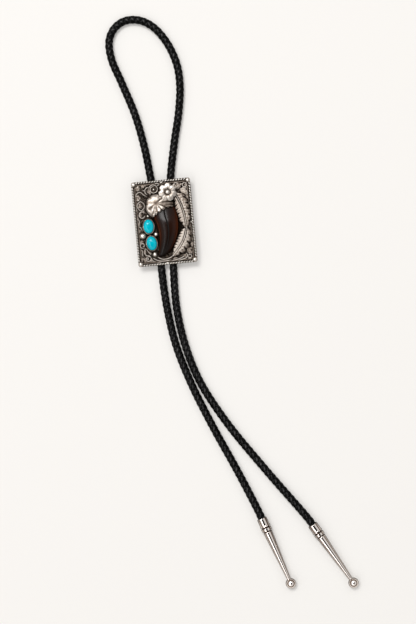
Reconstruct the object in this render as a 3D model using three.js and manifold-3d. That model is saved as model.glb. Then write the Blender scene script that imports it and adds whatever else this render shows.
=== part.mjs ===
// A bolo tie: a western slide of oxidised silver with a dark claw, two turquoise cabochons, leaves and a
// flower, riding on a braided leather cord that ends in two turned metal tips. It lies flat, face up.
// Millimetres. Origin: under the middle of the slide, on the surface. +X right, +Y to the neck loop, +Z up.
import * as THREE from "three";
import { mergeVertices } from "three/addons/utils/BufferGeometryUtils.js";
import Module from "manifold-3d";

const wasm = await Module();
wasm.setup();

// ---- driving dimensions ----
const GAP = 0.3; // air kept between two pieces that touch on the real thing
const CORD_DIAMETER = 6.2;
const CORD_SIDES = 10;
const CORD_STEPS = 80;
const CORD_REST = CORD_DIAMETER / 2 + 0.1; // height of the cord's centre where it lies on the surface

const SHEET = 0.8; // metal of the clip
const CLIP_LENGTH = 22;
const CLIP_FLANGE = 12.5; // half the clip's width over its flanges
const STRAND = 5.5; // the two strands run this far left and right of the middle, inside the clip
const CHANNEL = CORD_DIAMETER / 2 + GAP; // half the width of a channel
const CORD_IN_CLIP = SHEET + CHANNEL; // height of the cord's centre inside the clip
const CLIP_HEIGHT = CORD_IN_CLIP + CORD_DIAMETER / 2;

const SLIDE_WIDTH = 48.5;
const SLIDE_HEIGHT = 69.5;
const SLIDE_CORNER = 3;
const PLATE_THICKNESS = 1.2;
const PLATE_BACK = CLIP_HEIGHT + GAP;
const PLATE_FACE = PLATE_BACK + PLATE_THICKNESS;
const ROPE_WIDTH = 1.9; // the rope wire that frames the plate
const ROPE_RISE = 1.0; // how far the rope stands above the plate's face
const ROPE_ROUND = 0.55; // how much its upper and lower edges are rounded off
const WIRE_RADIUS = 0.45; // scrolls and tendrils
const WIRE_SIDES = 6;
const SINK = 0.5; // how deep an ornament's root goes into the plate, so that the two are one metal

const BEZEL_WALL = 0.5;
const BEZEL_HEIGHT = 2.3;
const STONE_WIDTH = 8.2;
const STONE_HEIGHT = 11.4;
const STONE_GIRDLE = 1.6;
const STONE_DOME = 2.2;

const TIP_SLEEVE = 3.9; // radius of the sleeve that takes the cord
const TIP_RING = 4.15;
const TIP_BALL = 4.1;
const TIP_CONE_END = 1.55;
const TIP_SIDES = 20;
const TIP_BALL_AT = 58.5; // from the mouth to the middle of the ball
const SOCKET_DEPTH = 7.2;

// ---- short tables ----
const CORNER_BALLS = [
  { x: -22.2, y: 32.65, radius: 1.95 },
  { x: 22.2, y: 32.65, radius: 1.95 },
  { x: -22.2, y: -32.65, radius: 1.95 },
  { x: 22.2, y: -32.65, radius: 1.95 },
];

// Round beads soldered to the plate.
const BEADS = [
  { x: -18.5, y: -9.8, radius: 2.6 },
  { x: -7.6, y: -9.2, radius: 1.8 },
  { x: -10.0, y: -25.6, radius: 2.0 },
  { x: -12.9, y: 6.2, radius: 1.1 },
  { x: -6.2, y: 27.4, radius: 0.8 },
  { x: 0.5, y: 32.6, radius: 0.9 },
  { x: -0.6, y: -33.4, radius: 0.9 },
  { x: 22.0, y: -1.6, radius: 0.7 },
];

const STONES = [
  { name: "turquoise_upper", x: -13.0, y: -2.4, tilt: 0 },
  { name: "turquoise_lower", x: -11.7, y: -16.3, tilt: 5 },
];

// Scrolls of wire: a spiral about a centre, from its outer radius to its inner one. Degrees, anticlockwise.
const SCROLLS = [
  { x: -6.3, y: 27.5, outer: 4.0, inner: 2.6, start: 200, turn: -500 },
  { x: -10.3, y: 26.3, outer: 3.4, inner: 3.0, start: 80, turn: 170 },
  { x: -17.8, y: 14.8, outer: 3.2, inner: 3.2, start: 0, turn: 360 },
  { x: -17.3, y: 7.2, outer: 3.1, inner: 2.3, start: 20, turn: 330 },
  { x: -19.3, y: -17.4, outer: 2.4, inner: 1.0, start: -60, turn: -400 },
  { x: -15.7, y: -28.7, outer: 2.7, inner: 1.6, start: 130, turn: -440 },
  { x: 12.3, y: 29.2, outer: 2.4, inner: 1.6, start: 0, turn: 400 },
  { x: 19.3, y: 29.0, outer: 1.7, inner: 1.7, start: 0, turn: 360 },
  { x: 20.2, y: -10.8, outer: 1.9, inner: 1.2, start: 90, turn: -380 },
  { x: 18.4, y: -29.3, outer: 1.9, inner: 1.2, start: 120, turn: 400 },
];

// Tendrils of wire: from one end over a bow to the other.
const TENDRILS = [
  { x0: -11.9, y0: 21.7, bowX: -15.4, bowY: 23.0, x1: -17.5, y1: 26.3 },
  { x0: -21.3, y0: -1.6, bowX: -19.2, bowY: -3.2, x1: -18.2, y1: -6.0 },
  { x0: -17.4, y0: -18.6, bowX: -19.0, bowY: -24.6, x1: -14.2, y1: -26.6 },
  { x0: -12.9, y0: -29.8, bowX: -11.6, bowY: -32.0, x1: -8.6, y1: -31.4 },
  { x0: -8.2, y0: -27.9, bowX: -1.0, bowY: -33.0, x1: 6.0, y1: -26.5 },
  { x0: 3.0, y0: -31.8, bowX: 9.0, bowY: -31.0, x1: 14.6, y1: -28.6 },
  { x0: 15.0, y0: 26.0, bowX: 19.5, bowY: 26.0, x1: 20.8, y1: 20.0 },
];

// Leaf outlines, lobe by lobe: where a lobe starts, and the point that it bulges towards.
const CAP_LEAF = [
  { startX: -1.0, startY: 22.6, bulgeX: -6.5, bulgeY: 24.8 },
  { startX: -10.3, startY: 21.4, bulgeX: -12.6, bulgeY: 19.4 },
  { startX: -13.4, startY: 15.6, bulgeX: -13.9, bulgeY: 9.6 },
  { startX: -9.3, startY: 4.8, bulgeX: -6.4, bulgeY: 5.6 },
  { startX: -4.2, startY: 8.6, bulgeX: -1.9, bulgeY: 8.0 },
  { startX: -0.9, startY: 10.2, bulgeX: 0.9, bulgeY: 9.0 },
  { startX: 2.7, startY: 12.2, bulgeX: 4.8, bulgeY: 10.4 },
  { startX: 6.2, startY: 12.6, bulgeX: 8.0, bulgeY: 10.6 },
  { startX: 8.8, startY: 13.6, bulgeX: 8.9, bulgeY: 18.6 },
];
const UPPER_FEATHER = [
  { startX: 12.2, startY: 22.8, bulgeX: 18.4, bulgeY: 22.8 },
  { startX: 19.8, startY: 17.0, bulgeX: 21.6, bulgeY: 13.6 },
  { startX: 21.0, startY: 10.2, bulgeX: 23.0, bulgeY: 7.6 },
  { startX: 21.2, startY: 5.4, bulgeX: 23.0, bulgeY: 2.6 },
  { startX: 20.8, startY: -1.6, bulgeX: 20.6, bulgeY: -4.4 },
  { startX: 17.8, startY: -6.2, bulgeX: 13.4, bulgeY: -2.4 },
  { startX: 13.2, startY: -0.8, bulgeX: 11.0, bulgeY: -0.4 },
  { startX: 13.0, startY: 3.4, bulgeX: 10.2, bulgeY: 5.2 },
  { startX: 11.6, startY: 8.2, bulgeX: 9.2, bulgeY: 9.4 },
  { startX: 9.8, startY: 12.4, bulgeX: 9.2, bulgeY: 16.2 },
];
const LOWER_FEATHER = [
  { startX: 17.6, startY: -7.4, bulgeX: 20.4, bulgeY: -6.6 },
  { startX: 20.4, startY: -14.6, bulgeX: 20.6, bulgeY: -17.8 },
  { startX: 18.0, startY: -18.6, bulgeX: 17.6, bulgeY: -23.0 },
  { startX: 15.4, startY: -21.6, bulgeX: 14.8, bulgeY: -27.2 },
  { startX: 12.2, startY: -25.4, bulgeX: 11.4, bulgeY: -28.6 },
  { startX: 9.6, startY: -27.4, bulgeX: 6.6, bulgeY: -30.6 },
  { startX: 4.4, startY: -28.0, bulgeX: 3.4, bulgeY: -25.6 },
  { startX: 5.8, startY: -22.0, bulgeX: 5.4, bulgeY: -20.2 },
  { startX: 8.2, startY: -18.2, bulgeX: 7.6, bulgeY: -15.6 },
  { startX: 10.4, startY: -13.2, bulgeX: 9.8, bulgeY: -10.8 },
  { startX: 12.4, startY: -9.4, bulgeX: 13.0, bulgeY: -6.6 },
];

const FLOWER = { x: 4.7, y: 24.5, petals: 7, first: 85, heart: 2.4, rise: 4.4 };
const PETAL = { reach: 4.4, length: 6.4, width: 6.4, thickness: 3 };

// The ellipsoids that dome the leaves.
const CAP_DOME = { x: -2, y: 9.5, sink: 3, radiusX: 18, radiusY: 17, radiusZ: 9 };
const UPPER_DOME = { x: 15, y: 9, sink: 2, radiusX: 12, radiusY: 22, radiusZ: 4.4 };
const LOWER_DOME = { x: 12, y: -17, sink: 2, radiusX: 16, radiusY: 18, radiusZ: 4.2 };

// The claw, section by section down its length: its two edges and how high it crowns above its flat back.
const CLAW = [
  { y: 13.5, left: -5.0, right: 8.2, crown: 2.6 },
  { y: 9.0, left: -7.6, right: 10.4, crown: 3.8 },
  { y: 4.0, left: -7.8, right: 11.2, crown: 4.9 },
  { y: 0.0, left: -6.4, right: 11.4, crown: 5.5 },
  { y: -5.0, left: -5.3, right: 11.1, crown: 5.5 },
  { y: -10.0, left: -4.9, right: 10.1, crown: 5.2 },
  { y: -15.0, left: -5.1, right: 8.3, crown: 4.6 },
  { y: -20.0, left: -5.9, right: 5.6, crown: 3.8 },
  { y: -24.0, left: -6.7, right: 2.4, crown: 2.9 },
  { y: -26.4, left: -6.9, right: -1.4, crown: 2.1 },
  { y: -27.6, left: -6.5, right: -4.0, crown: 1.3 },
];
const CLAW_BACK = PLATE_FACE + GAP;
const CLAW_SEAT = 0.5; // how much larger than the claw the pocket under the cap leaf is, on every side

// The mouth of each tip, and the way that it points, in degrees from +X.
const TIPS = [
  { name: "tip_left", x: 56.6, y: -249.0, heading: -71.2 },
  { name: "tip_right", x: 97.6, y: -258.0, heading: -60.2 },
];

// The cord's route between the tips: up the left strand, round the neck loop, down the right strand.
const ROUTE = [
  { x: 41.1, y: -210, z: CORD_REST },
  { x: 22.8, y: -168, z: CORD_REST },
  { x: 8.9, y: -132, z: CORD_REST },
  { x: -0.2, y: -100, z: CORD_REST },
  { x: -4.4, y: -70, z: CORD_REST },
  { x: -5.9, y: -40, z: CORD_REST },
  { x: -STRAND, y: -15, z: CORD_IN_CLIP },
  { x: -STRAND, y: 0, z: CORD_IN_CLIP },
  { x: -STRAND, y: 15, z: CORD_IN_CLIP },
  { x: -7.9, y: 38, z: CORD_REST },
  { x: -10.4, y: 62, z: CORD_REST },
  { x: -15.6, y: 90, z: CORD_REST },
  { x: -24.3, y: 118, z: CORD_REST },
  { x: -30.7, y: 138, z: CORD_REST },
  { x: -31.1, y: 153, z: CORD_REST },
  { x: -26, y: 162.6, z: CORD_REST },
  { x: -17, y: 167.9, z: CORD_REST },
  { x: -5.5, y: 167.5, z: CORD_REST },
  { x: 5, y: 161.6, z: CORD_REST },
  { x: 15, y: 148.6, z: CORD_REST },
  { x: 22, y: 130, z: CORD_REST },
  { x: 23.3, y: 112, z: CORD_REST },
  { x: 20.3, y: 90, z: CORD_REST },
  { x: 14.3, y: 65, z: CORD_REST },
  { x: 8.7, y: 38, z: CORD_REST },
  { x: STRAND, y: 15, z: CORD_IN_CLIP },
  { x: STRAND, y: 0, z: CORD_IN_CLIP },
  { x: STRAND, y: -15, z: CORD_IN_CLIP },
  { x: 3.8, y: -40, z: CORD_REST },
  { x: 3.4, y: -70, z: CORD_REST },
  { x: 7.2, y: -100, z: CORD_REST },
  { x: 16.5, y: -132, z: CORD_REST },
  { x: 35.4, y: -168, z: CORD_REST },
  { x: 63.8, y: -210, z: CORD_REST },
];

// ---- finishes ----
const finish = (color, roughness, metalness) =>
  new THREE.MeshStandardMaterial({ color, roughness, metalness });
const oxidisedSilver = finish("#b9b2a6", 0.35, 1);
const polishedNickel = finish("#cfcfcd", 0.15, 1);
const turquoise = finish("#12b3c4", 0.2, 0);
const darkHorn = finish("#1c1512", 0.15, 0);
const blackLeather = finish("#141312", 0.55, 0);

// ---- helpers ----
const radians = THREE.MathUtils.degToRad;

/** A closed geometry as a solid that can be joined and cut. */
function solid(geometry) {
  const bare = geometry.clone();
  bare.deleteAttribute("normal");
  bare.deleteAttribute("uv");
  const merged = mergeVertices(bare, 1e-4);
  const skin = new wasm.Mesh({
    numProp: 3,
    vertProperties: merged.attributes.position.array,
    triVerts: new Uint32Array(merged.index.array),
  });
  return new wasm.Manifold(skin);
}

/** A solid back as a geometry, flat shaded. */
function geometryOf(made) {
  const data = made.getMesh();
  const geometry = new THREE.BufferGeometry();
  geometry.setAttribute("position", new THREE.BufferAttribute(new Float32Array(data.vertProperties), 3));
  geometry.setIndex(new THREE.BufferAttribute(new Uint32Array(data.triVerts), 1));
  geometry.computeVertexNormals();
  return geometry;
}

function roundedRectangle(width, height, corner) {
  const x = width / 2 - corner;
  const y = height / 2 - corner;
  const path = new THREE.Shape();
  path.absarc(x, y, corner, 0, radians(90));
  path.absarc(-x, y, corner, radians(90), radians(180));
  path.absarc(-x, -y, corner, radians(180), radians(270));
  path.absarc(x, -y, corner, radians(270), radians(360));
  path.closePath();
  return path;
}

/** A flat shape raised straight up from one height to another. */
function prism(shape, low, high, curveSegments = 5) {
  const options = { depth: high - low, bevelEnabled: false, curveSegments };
  return solid(new THREE.ExtrudeGeometry(shape, options).translate(0, 0, low));
}

/** A round section of the given radius, for wires and cords. */
function roundSection(radius, sides) {
  const section = new THREE.Shape();
  for (let i = 0; i < sides; i++) {
    const turn = (i / sides) * 2 * Math.PI;
    const x = radius * Math.cos(turn);
    const y = radius * Math.sin(turn);
    if (i === 0) section.moveTo(x, y);
    else section.lineTo(x, y);
  }
  section.closePath();
  return section;
}

/** A round wire along a curve. */
function wire(curve, radius, steps, sides) {
  return new THREE.ExtrudeGeometry(roundSection(radius, sides), { steps, extrudePath: curve });
}

/** A ball, flattened or stretched along the axes. */
function ball(x, y, z, radiusX, radiusY, radiusZ, around = 12) {
  const sphere = new THREE.SphereGeometry(1, around, around / 2);
  return solid(sphere.rotateX(Math.PI / 2).scale(radiusX, radiusY, radiusZ).translate(x, y, z));
}

/** A round bead soldered down: a dome on a short foot that sinks into the plate. */
function bead(row, rise = row.radius) {
  const profile = [new THREE.Vector2(0, -SINK), new THREE.Vector2(row.radius, -SINK)];
  const steps = 4;
  for (let i = 0; i < steps; i++) {
    const turn = (i / steps) * (Math.PI / 2);
    profile.push(new THREE.Vector2(row.radius * Math.cos(turn), rise * Math.sin(turn)));
  }
  profile.push(new THREE.Vector2(0, rise));
  const around = row.radius > 1.5 ? 16 : 10;
  const dome = new THREE.LatheGeometry(profile, around).rotateX(Math.PI / 2);
  return solid(dome.translate(row.x, row.y, PLATE_FACE));
}

/** A leaf's outline as one closed shape, from its table of lobes. */
function lobedShape(lobes) {
  const shape = new THREE.Shape();
  shape.moveTo(lobes[0].startX, lobes[0].startY);
  lobes.forEach((lobe, i) => {
    const next = lobes[(i + 1) % lobes.length];
    shape.quadraticCurveTo(lobe.bulgeX, lobe.bulgeY, next.startX, next.startY);
  });
  return shape;
}

/** A leaf domed over its whole outline: a prism cut off by an ellipsoid that is sunk into the plate. */
function domedLeaf(lobes, dome) {
  const z = PLATE_FACE - dome.sink;
  const hill = ball(dome.x, dome.y, z, dome.radiusX, dome.radiusY, dome.radiusZ, 24);
  const stock = prism(lobedShape(lobes), PLATE_FACE - SINK, PLATE_FACE + dome.radiusZ, 3);
  return stock.intersect(hill);
}

/** The skin between rings of points, closed by a fan at each end. */
function loft(rings) {
  const count = rings[0].length;
  const positions = rings.flat().flatMap((p) => p.toArray());
  const triangles = [];
  for (let r = 0; r + 1 < rings.length; r++) {
    for (let i = 0; i < count; i++) {
      const a = r * count + i;
      const b = r * count + ((i + 1) % count);
      triangles.push(a, b, b + count, a, b + count, a + count);
    }
  }
  const last = (rings.length - 1) * count;
  for (let i = 1; i + 1 < count; i++) {
    triangles.push(0, i + 1, i, last, last + i, last + i + 1);
  }
  const geometry = new THREE.BufferGeometry();
  geometry.setAttribute("position", new THREE.Float32BufferAttribute(positions, 3));
  geometry.setIndex(triangles);
  geometry.computeVertexNormals();
  return geometry;
}

// ---- the slide ----

/** The claw's body, grown on every side by a clearance: 0 for the claw itself. */
function clawGeometry(clearance) {
  const around = 20;
  const back = CLAW_BACK - clearance;
  const rings = CLAW.map((row, index) => {
    const y = row.y + (index === 0 ? clearance : 0) - (index === CLAW.length - 1 ? clearance : 0);
    const half = (row.right - row.left) / 2 + clearance;
    const middle = (row.right + row.left) / 2;
    const height = row.crown + 2 * clearance;
    const ring = [];
    for (let i = 0; i < around; i++) {
      const turn = (i / around) * 2 * Math.PI;
      const across = Math.cos(turn);
      const up = Math.max(Math.sin(turn), 0) ** 0.8;
      const under = Math.min(Math.sin(turn), 0) * 0.12;
      const z = back + height * (0.12 + 0.88 * up + under);
      ring.push(new THREE.Vector3(middle + half * across, y, z));
    }
    return ring;
  });
  return loft(rings);
}

function bezel(stone) {
  const innerX = STONE_WIDTH / 2 + GAP;
  const innerY = STONE_HEIGHT / 2 + GAP;
  const cup = new THREE.Shape();
  const tilt = radians(stone.tilt);
  cup.absellipse(stone.x, stone.y, innerX + BEZEL_WALL, innerY + BEZEL_WALL, 0, 2 * Math.PI, false, tilt);
  const well = new THREE.Path();
  well.absellipse(stone.x, stone.y, innerX, innerY, 0, 2 * Math.PI, true, tilt);
  cup.holes.push(well);
  return prism(cup, PLATE_FACE - SINK, PLATE_FACE + BEZEL_HEIGHT, 24);
}

function cabochonGeometry(stone) {
  const profile = [new THREE.Vector2(0, 0), new THREE.Vector2(0.94, 0), new THREE.Vector2(1, 0.3)];
  const steps = 6;
  for (let i = 0; i <= steps; i++) {
    const turn = (i / steps) * (Math.PI / 2);
    const radius = i === steps ? 0 : Math.cos(turn);
    profile.push(new THREE.Vector2(radius, STONE_GIRDLE + STONE_DOME * Math.sin(turn)));
  }
  return new THREE.LatheGeometry(profile, 24)
    .rotateX(Math.PI / 2)
    .scale(STONE_WIDTH / 2, STONE_HEIGHT / 2, 1)
    .rotateZ(radians(stone.tilt))
    .translate(stone.x, stone.y, PLATE_FACE + GAP);
}

function scrollWire(row) {
  const points = [];
  const steps = Math.ceil(Math.abs(row.turn) / 30);
  for (let i = 0; i <= steps; i++) {
    const share = i / steps;
    const radius = row.outer + (row.inner - row.outer) * share;
    const turn = radians(row.start + row.turn * share);
    const x = row.x + radius * Math.cos(turn);
    const y = row.y + radius * Math.sin(turn);
    points.push(new THREE.Vector3(x, y, PLATE_FACE));
  }
  return solid(wire(new THREE.CatmullRomCurve3(points), WIRE_RADIUS, steps, WIRE_SIDES));
}

function tendrilWire(row) {
  const curve = new THREE.QuadraticBezierCurve3(
    new THREE.Vector3(row.x0, row.y0, PLATE_FACE),
    new THREE.Vector3(row.bowX, row.bowY, PLATE_FACE),
    new THREE.Vector3(row.x1, row.y1, PLATE_FACE),
  );
  return solid(wire(curve, WIRE_RADIUS, 6, WIRE_SIDES));
}

/** The rope wire round the edge, as a plain frame with rounded edges. */
function ropeRim() {
  const innerWidth = SLIDE_WIDTH - 2 * ROPE_WIDTH;
  const innerHeight = SLIDE_HEIGHT - 2 * ROPE_WIDTH;
  const frame = roundedRectangle(SLIDE_WIDTH, SLIDE_HEIGHT, SLIDE_CORNER);
  frame.holes.push(roundedRectangle(innerWidth, innerHeight, SLIDE_CORNER / 2));
  const ring = new THREE.ExtrudeGeometry(frame, {
    depth: ROPE_WIDTH - 2 * ROPE_ROUND,
    bevelThickness: ROPE_ROUND,
    bevelSize: ROPE_ROUND,
    bevelOffset: -ROPE_ROUND,
    bevelSegments: 2,
    curveSegments: 4,
  });
  return solid(ring.translate(0, 0, PLATE_FACE + ROPE_RISE - ROPE_WIDTH + ROPE_ROUND));
}

function flower() {
  const z = PLATE_FACE + FLOWER.rise;
  const dish = FLOWER.heart + 2;
  let bloom = bead({ x: FLOWER.x, y: FLOWER.y, radius: dish }, FLOWER.rise + 1);
  for (let i = 0; i < FLOWER.petals; i++) {
    const petal = new THREE.SphereGeometry(1, 10, 6)
      .rotateX(Math.PI / 2)
      .scale(PETAL.length / 2, PETAL.width / 2, PETAL.thickness / 2)
      .translate(PETAL.reach, 0, 0)
      .rotateZ(radians(FLOWER.first + (i * 360) / FLOWER.petals))
      .translate(FLOWER.x, FLOWER.y, z);
    bloom = bloom.add(solid(petal));
  }
  return bloom.add(ball(FLOWER.x, FLOWER.y, z + 1.2, FLOWER.heart, FLOWER.heart, 1.6));
}

/** The whole soldered metal of the slide as one solid, with a pocket for the claw under the cap leaf. */
function slideSolid() {
  const plateWidth = SLIDE_WIDTH - ROPE_WIDTH / 2;
  const plateHeight = SLIDE_HEIGHT - ROPE_WIDTH / 2;
  let metal = prism(roundedRectangle(plateWidth, plateHeight, SLIDE_CORNER), PLATE_BACK, PLATE_FACE);
  const add = (piece) => {
    metal = metal.add(piece);
  };
  add(ropeRim());
  CORNER_BALLS.forEach((row) => add(bead(row)));
  BEADS.forEach((row) => add(bead(row)));
  STONES.forEach((row) => add(bezel(row)));
  SCROLLS.forEach((row) => add(scrollWire(row)));
  TENDRILS.forEach((row) => add(tendrilWire(row)));
  add(domedLeaf(UPPER_FEATHER, UPPER_DOME));
  add(domedLeaf(LOWER_FEATHER, LOWER_DOME));
  add(domedLeaf(CAP_LEAF, CAP_DOME));
  add(flower());
  return metal.subtract(solid(clawGeometry(CLAW_SEAT)));
}

// ---- the clip behind the slide ----

/** The bent sheet's section across the tie: two channels, the web between them and a flange each side. */
function clipShape() {
  const top = CLIP_HEIGHT - SHEET / 2;
  const wall = CHANNEL + SHEET / 2;
  const low = SHEET / 2;
  const tight = 1.2;
  const wide = 2.4;
  const middle = new THREE.Path();
  middle.moveTo(-CLIP_FLANGE, top);
  middle.lineTo(-STRAND - wall - tight, top);
  for (const x of [-STRAND, STRAND]) {
    middle.absarc(x - wall - tight, top - tight, tight, radians(90), 0, true);
    middle.absarc(x - wall + wide, low + wide, wide, radians(180), radians(270), false);
    middle.absarc(x + wall - wide, low + wide, wide, radians(270), radians(360), false);
    middle.absarc(x + wall + tight, top - tight, tight, radians(180), radians(90), true);
  }
  middle.lineTo(CLIP_FLANGE, top);
  const points = middle.getPoints(3).filter((p, i, all) => i === 0 || p.distanceTo(all[i - 1]) > 1e-6);
  const side = (sign) =>
    points.map((p, i) => {
      const before = points[Math.max(i - 1, 0)];
      const after = points[Math.min(i + 1, points.length - 1)];
      const along = after.clone().sub(before).normalize();
      return new THREE.Vector2(p.x - (along.y * sign * SHEET) / 2, p.y + (along.x * sign * SHEET) / 2);
    });
  return new THREE.Shape([...side(-1), ...side(1).reverse()]);
}

function clipGeometry() {
  const options = { depth: CLIP_LENGTH, bevelEnabled: false };
  return new THREE.ExtrudeGeometry(clipShape(), options)
    .rotateX(Math.PI / 2)
    .translate(0, CLIP_LENGTH / 2, 0);
}

// ---- the cord and its tips ----

/** A point on a tip's axis, so far in from its mouth. */
function onAxis(tip, inward) {
  const heading = radians(tip.heading);
  const x = tip.x + inward * Math.cos(heading);
  const y = tip.y + inward * Math.sin(heading);
  return new THREE.Vector3(x, y, TIP_RING);
}

function cordGeometry() {
  const [left, right] = TIPS;
  const seat = SOCKET_DEPTH - GAP;
  const points = [
    onAxis(left, seat),
    onAxis(left, 1),
    onAxis(left, -5),
    ...ROUTE.map((row) => new THREE.Vector3(row.x, row.y, row.z)),
    onAxis(right, -5),
    onAxis(right, 1),
    onAxis(right, seat),
  ];
  const route = new THREE.CatmullRomCurve3(points, false, "centripetal");
  route.arcLengthDivisions = 2000;
  return wire(route, CORD_DIAMETER / 2, CORD_STEPS, CORD_SIDES);
}

/** A tip turned about its axis: socket, sleeve, a band between two rings, a cone and a ball. */
function tipGeometry() {
  const profile = [
    { at: SOCKET_DEPTH, radius: 0 },
    { at: SOCKET_DEPTH, radius: CORD_DIAMETER / 2 + GAP },
    { at: 0, radius: CORD_DIAMETER / 2 + GAP },
    { at: 0, radius: TIP_SLEEVE },
    { at: 6.2, radius: TIP_SLEEVE },
    { at: 6.5, radius: TIP_RING },
    { at: 7.5, radius: TIP_RING },
    { at: 7.8, radius: TIP_SLEEVE - 0.1 },
    { at: 9.8, radius: TIP_SLEEVE - 0.1 },
    { at: 10.1, radius: TIP_RING },
    { at: 11.1, radius: TIP_RING },
    { at: 11.4, radius: 3.6 },
  ];
  const neck = Math.acos(TIP_CONE_END / TIP_BALL);
  const steps = 8;
  for (let i = 0; i <= steps; i++) {
    const turn = -neck + (i / steps) * (neck + Math.PI / 2);
    const radius = i === steps ? 0 : TIP_BALL * Math.cos(turn);
    profile.push({ at: TIP_BALL_AT + TIP_BALL * Math.sin(turn), radius });
  }
  const points = profile.map((row) => new THREE.Vector2(row.radius, row.at));
  return new THREE.LatheGeometry(points, TIP_SIDES);
}

// ---- assembly ----
const tie = new THREE.Group();

function place(name, geometry, material) {
  const mesh = new THREE.Mesh(geometry, material);
  mesh.name = name;
  tie.add(mesh);
  return mesh;
}

place("slide_plate", geometryOf(slideSolid()), oxidisedSilver);
place("claw", clawGeometry(0), darkHorn);
STONES.forEach((stone) => place(stone.name, cabochonGeometry(stone), turquoise));
place("cord_clip", clipGeometry(), polishedNickel);
place("cord", cordGeometry(), blackLeather);
TIPS.forEach((tip) => {
  const mesh = place(tip.name, tipGeometry(), polishedNickel);
  mesh.position.set(tip.x, tip.y, TIP_RING);
  mesh.rotation.z = radians(tip.heading - 90);
});

export default tie;
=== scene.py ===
"""A bolo tie: an oxidised silver slide with a claw, turquoise, leaves and a flower, on a braided cord.

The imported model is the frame: each piece made here rides on its body and stands in for a CAD node.
Shapes are worked out in millimetres and turned to metres when a piece is finished.
"""

import math

import bmesh
import bpy
from mathutils import Matrix, Vector, noise


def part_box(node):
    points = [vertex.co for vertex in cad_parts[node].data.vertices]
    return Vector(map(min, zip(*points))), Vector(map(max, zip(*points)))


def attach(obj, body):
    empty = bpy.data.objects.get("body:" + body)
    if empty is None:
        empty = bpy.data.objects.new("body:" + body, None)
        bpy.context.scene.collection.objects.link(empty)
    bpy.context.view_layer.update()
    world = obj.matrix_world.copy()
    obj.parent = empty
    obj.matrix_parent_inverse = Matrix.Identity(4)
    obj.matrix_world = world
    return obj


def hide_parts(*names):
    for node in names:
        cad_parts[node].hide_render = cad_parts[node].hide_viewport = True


bl_info = {
    "name": "Bolo Tie",
    "version": (1, 0, 0),
    "blender": (4, 5, 0),
    "location": "View3D > Sidebar > Bolo Tie",
    "description": "Makes the pieces of a bolo tie around its packed frame",
    "category": "Object",
}

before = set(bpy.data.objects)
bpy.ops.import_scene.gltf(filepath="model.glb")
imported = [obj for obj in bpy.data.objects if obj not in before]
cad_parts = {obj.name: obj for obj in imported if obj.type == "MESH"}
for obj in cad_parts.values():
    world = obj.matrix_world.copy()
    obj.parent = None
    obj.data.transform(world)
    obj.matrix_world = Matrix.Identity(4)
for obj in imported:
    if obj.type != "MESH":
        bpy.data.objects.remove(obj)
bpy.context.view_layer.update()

MM = 0.001
BODY = "root"
SEED = 7  # of the noise that scatters the small leaves and chases the ground

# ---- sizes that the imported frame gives, in millimetres ----
SLIDE_LOW, SLIDE_HIGH = (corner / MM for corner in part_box("slide_plate"))
CLIP_LOW, CLIP_HIGH = (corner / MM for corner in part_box("cord_clip"))
PLATE_BACK = SLIDE_LOW.z
PLATE_THICKNESS = 1.2
PLATE_FACE = PLATE_BACK + PLATE_THICKNESS
ROOT = PLATE_FACE - 0.3  # the ornaments are sunk this far into the plate
CLAW_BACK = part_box("claw")[0].z / MM

# ---- the cord, on the CAD's route ----
CORD_REST = 3.2  # height of the cord's centre where it lies on the surface
CORD_IN_CLIP = 4.2  # and where it goes through the clip
STRAND = 5.5  # the two strands run this far left and right of the middle, inside the clip
TIP_AXIS = 4.4  # height of a tip's axis: its thickest ring, of this radius, lies on the floor
SOCKET_SEAT = 6.9  # how far the cord goes into a tip
TIPS = [
    {"name": "tip_left", "x": 56.6, "y": -249.0, "heading": -71.2},
    {"name": "tip_right", "x": 97.6, "y": -258.0, "heading": -60.2},
]
# Where its centre passes, from the left tip to the right one. It rises where it goes through the clip.
ROUTE = [
    (41.1, -210), (22.8, -168), (8.9, -132), (-0.2, -100), (-4.4, -70), (-5.9, -40), (-STRAND, -15),
    (-STRAND, 0), (-STRAND, 15), (-7.9, 38), (-10.4, 62), (-15.6, 90), (-24.3, 118), (-30.7, 138),
    (-31.1, 153), (-26, 162.6), (-17, 167.9), (-5.5, 167.5), (5, 161.6), (15, 148.6), (22, 130),
    (23.3, 112), (20.3, 90), (14.3, 65), (8.7, 38), (STRAND, 15), (STRAND, 0), (STRAND, -15),
    (3.8, -40), (3.4, -70), (7.2, -100), (16.5, -132), (35.4, -168), (63.8, -210),
]
CLIP_REACH = 15

# ---- the tips: distance from the mouth, radius ----
TIP_PROFILE = [
    (7.2, 0),
    (7.2, 3.4),
    (0, 3.4),
    (0, 4.15),
    (6.2, 4.15),
    (6.5, 4.4),
    (7.4, 4.4),
    (7.5, 3.6),
    (8.5, 3.6),
    (8.6, 4.3),
    (9.6, 4.4),
    (11.0, 4.3),
    (11.1, 3.4),
    (12.0, 3.4),
    (12.1, 3.8),
]
TIP_GROOVES = (8.0, 11.55)
TIP_BALL = 4.3
TIP_BALL_AT = 58.5
TIP_CONE_END = 1.65

# ---- the slide ----
ROPE_WIDTH = 1.9
ROPE_RISE = 1.0  # how far the rope stands above the plate's face
ROPE_CORNER = 3.0
ROPE_X = SLIDE_HIGH.x - ROPE_WIDTH / 2  # the rope's middle runs this far out
ROPE_Y = SLIDE_HIGH.y - ROPE_WIDTH / 2
CORNER_BALLS = [(-22.2, 32.65), (22.2, 32.65), (-22.2, -32.65), (22.2, -32.65)]
CORNER_BALL = 1.95
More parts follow.
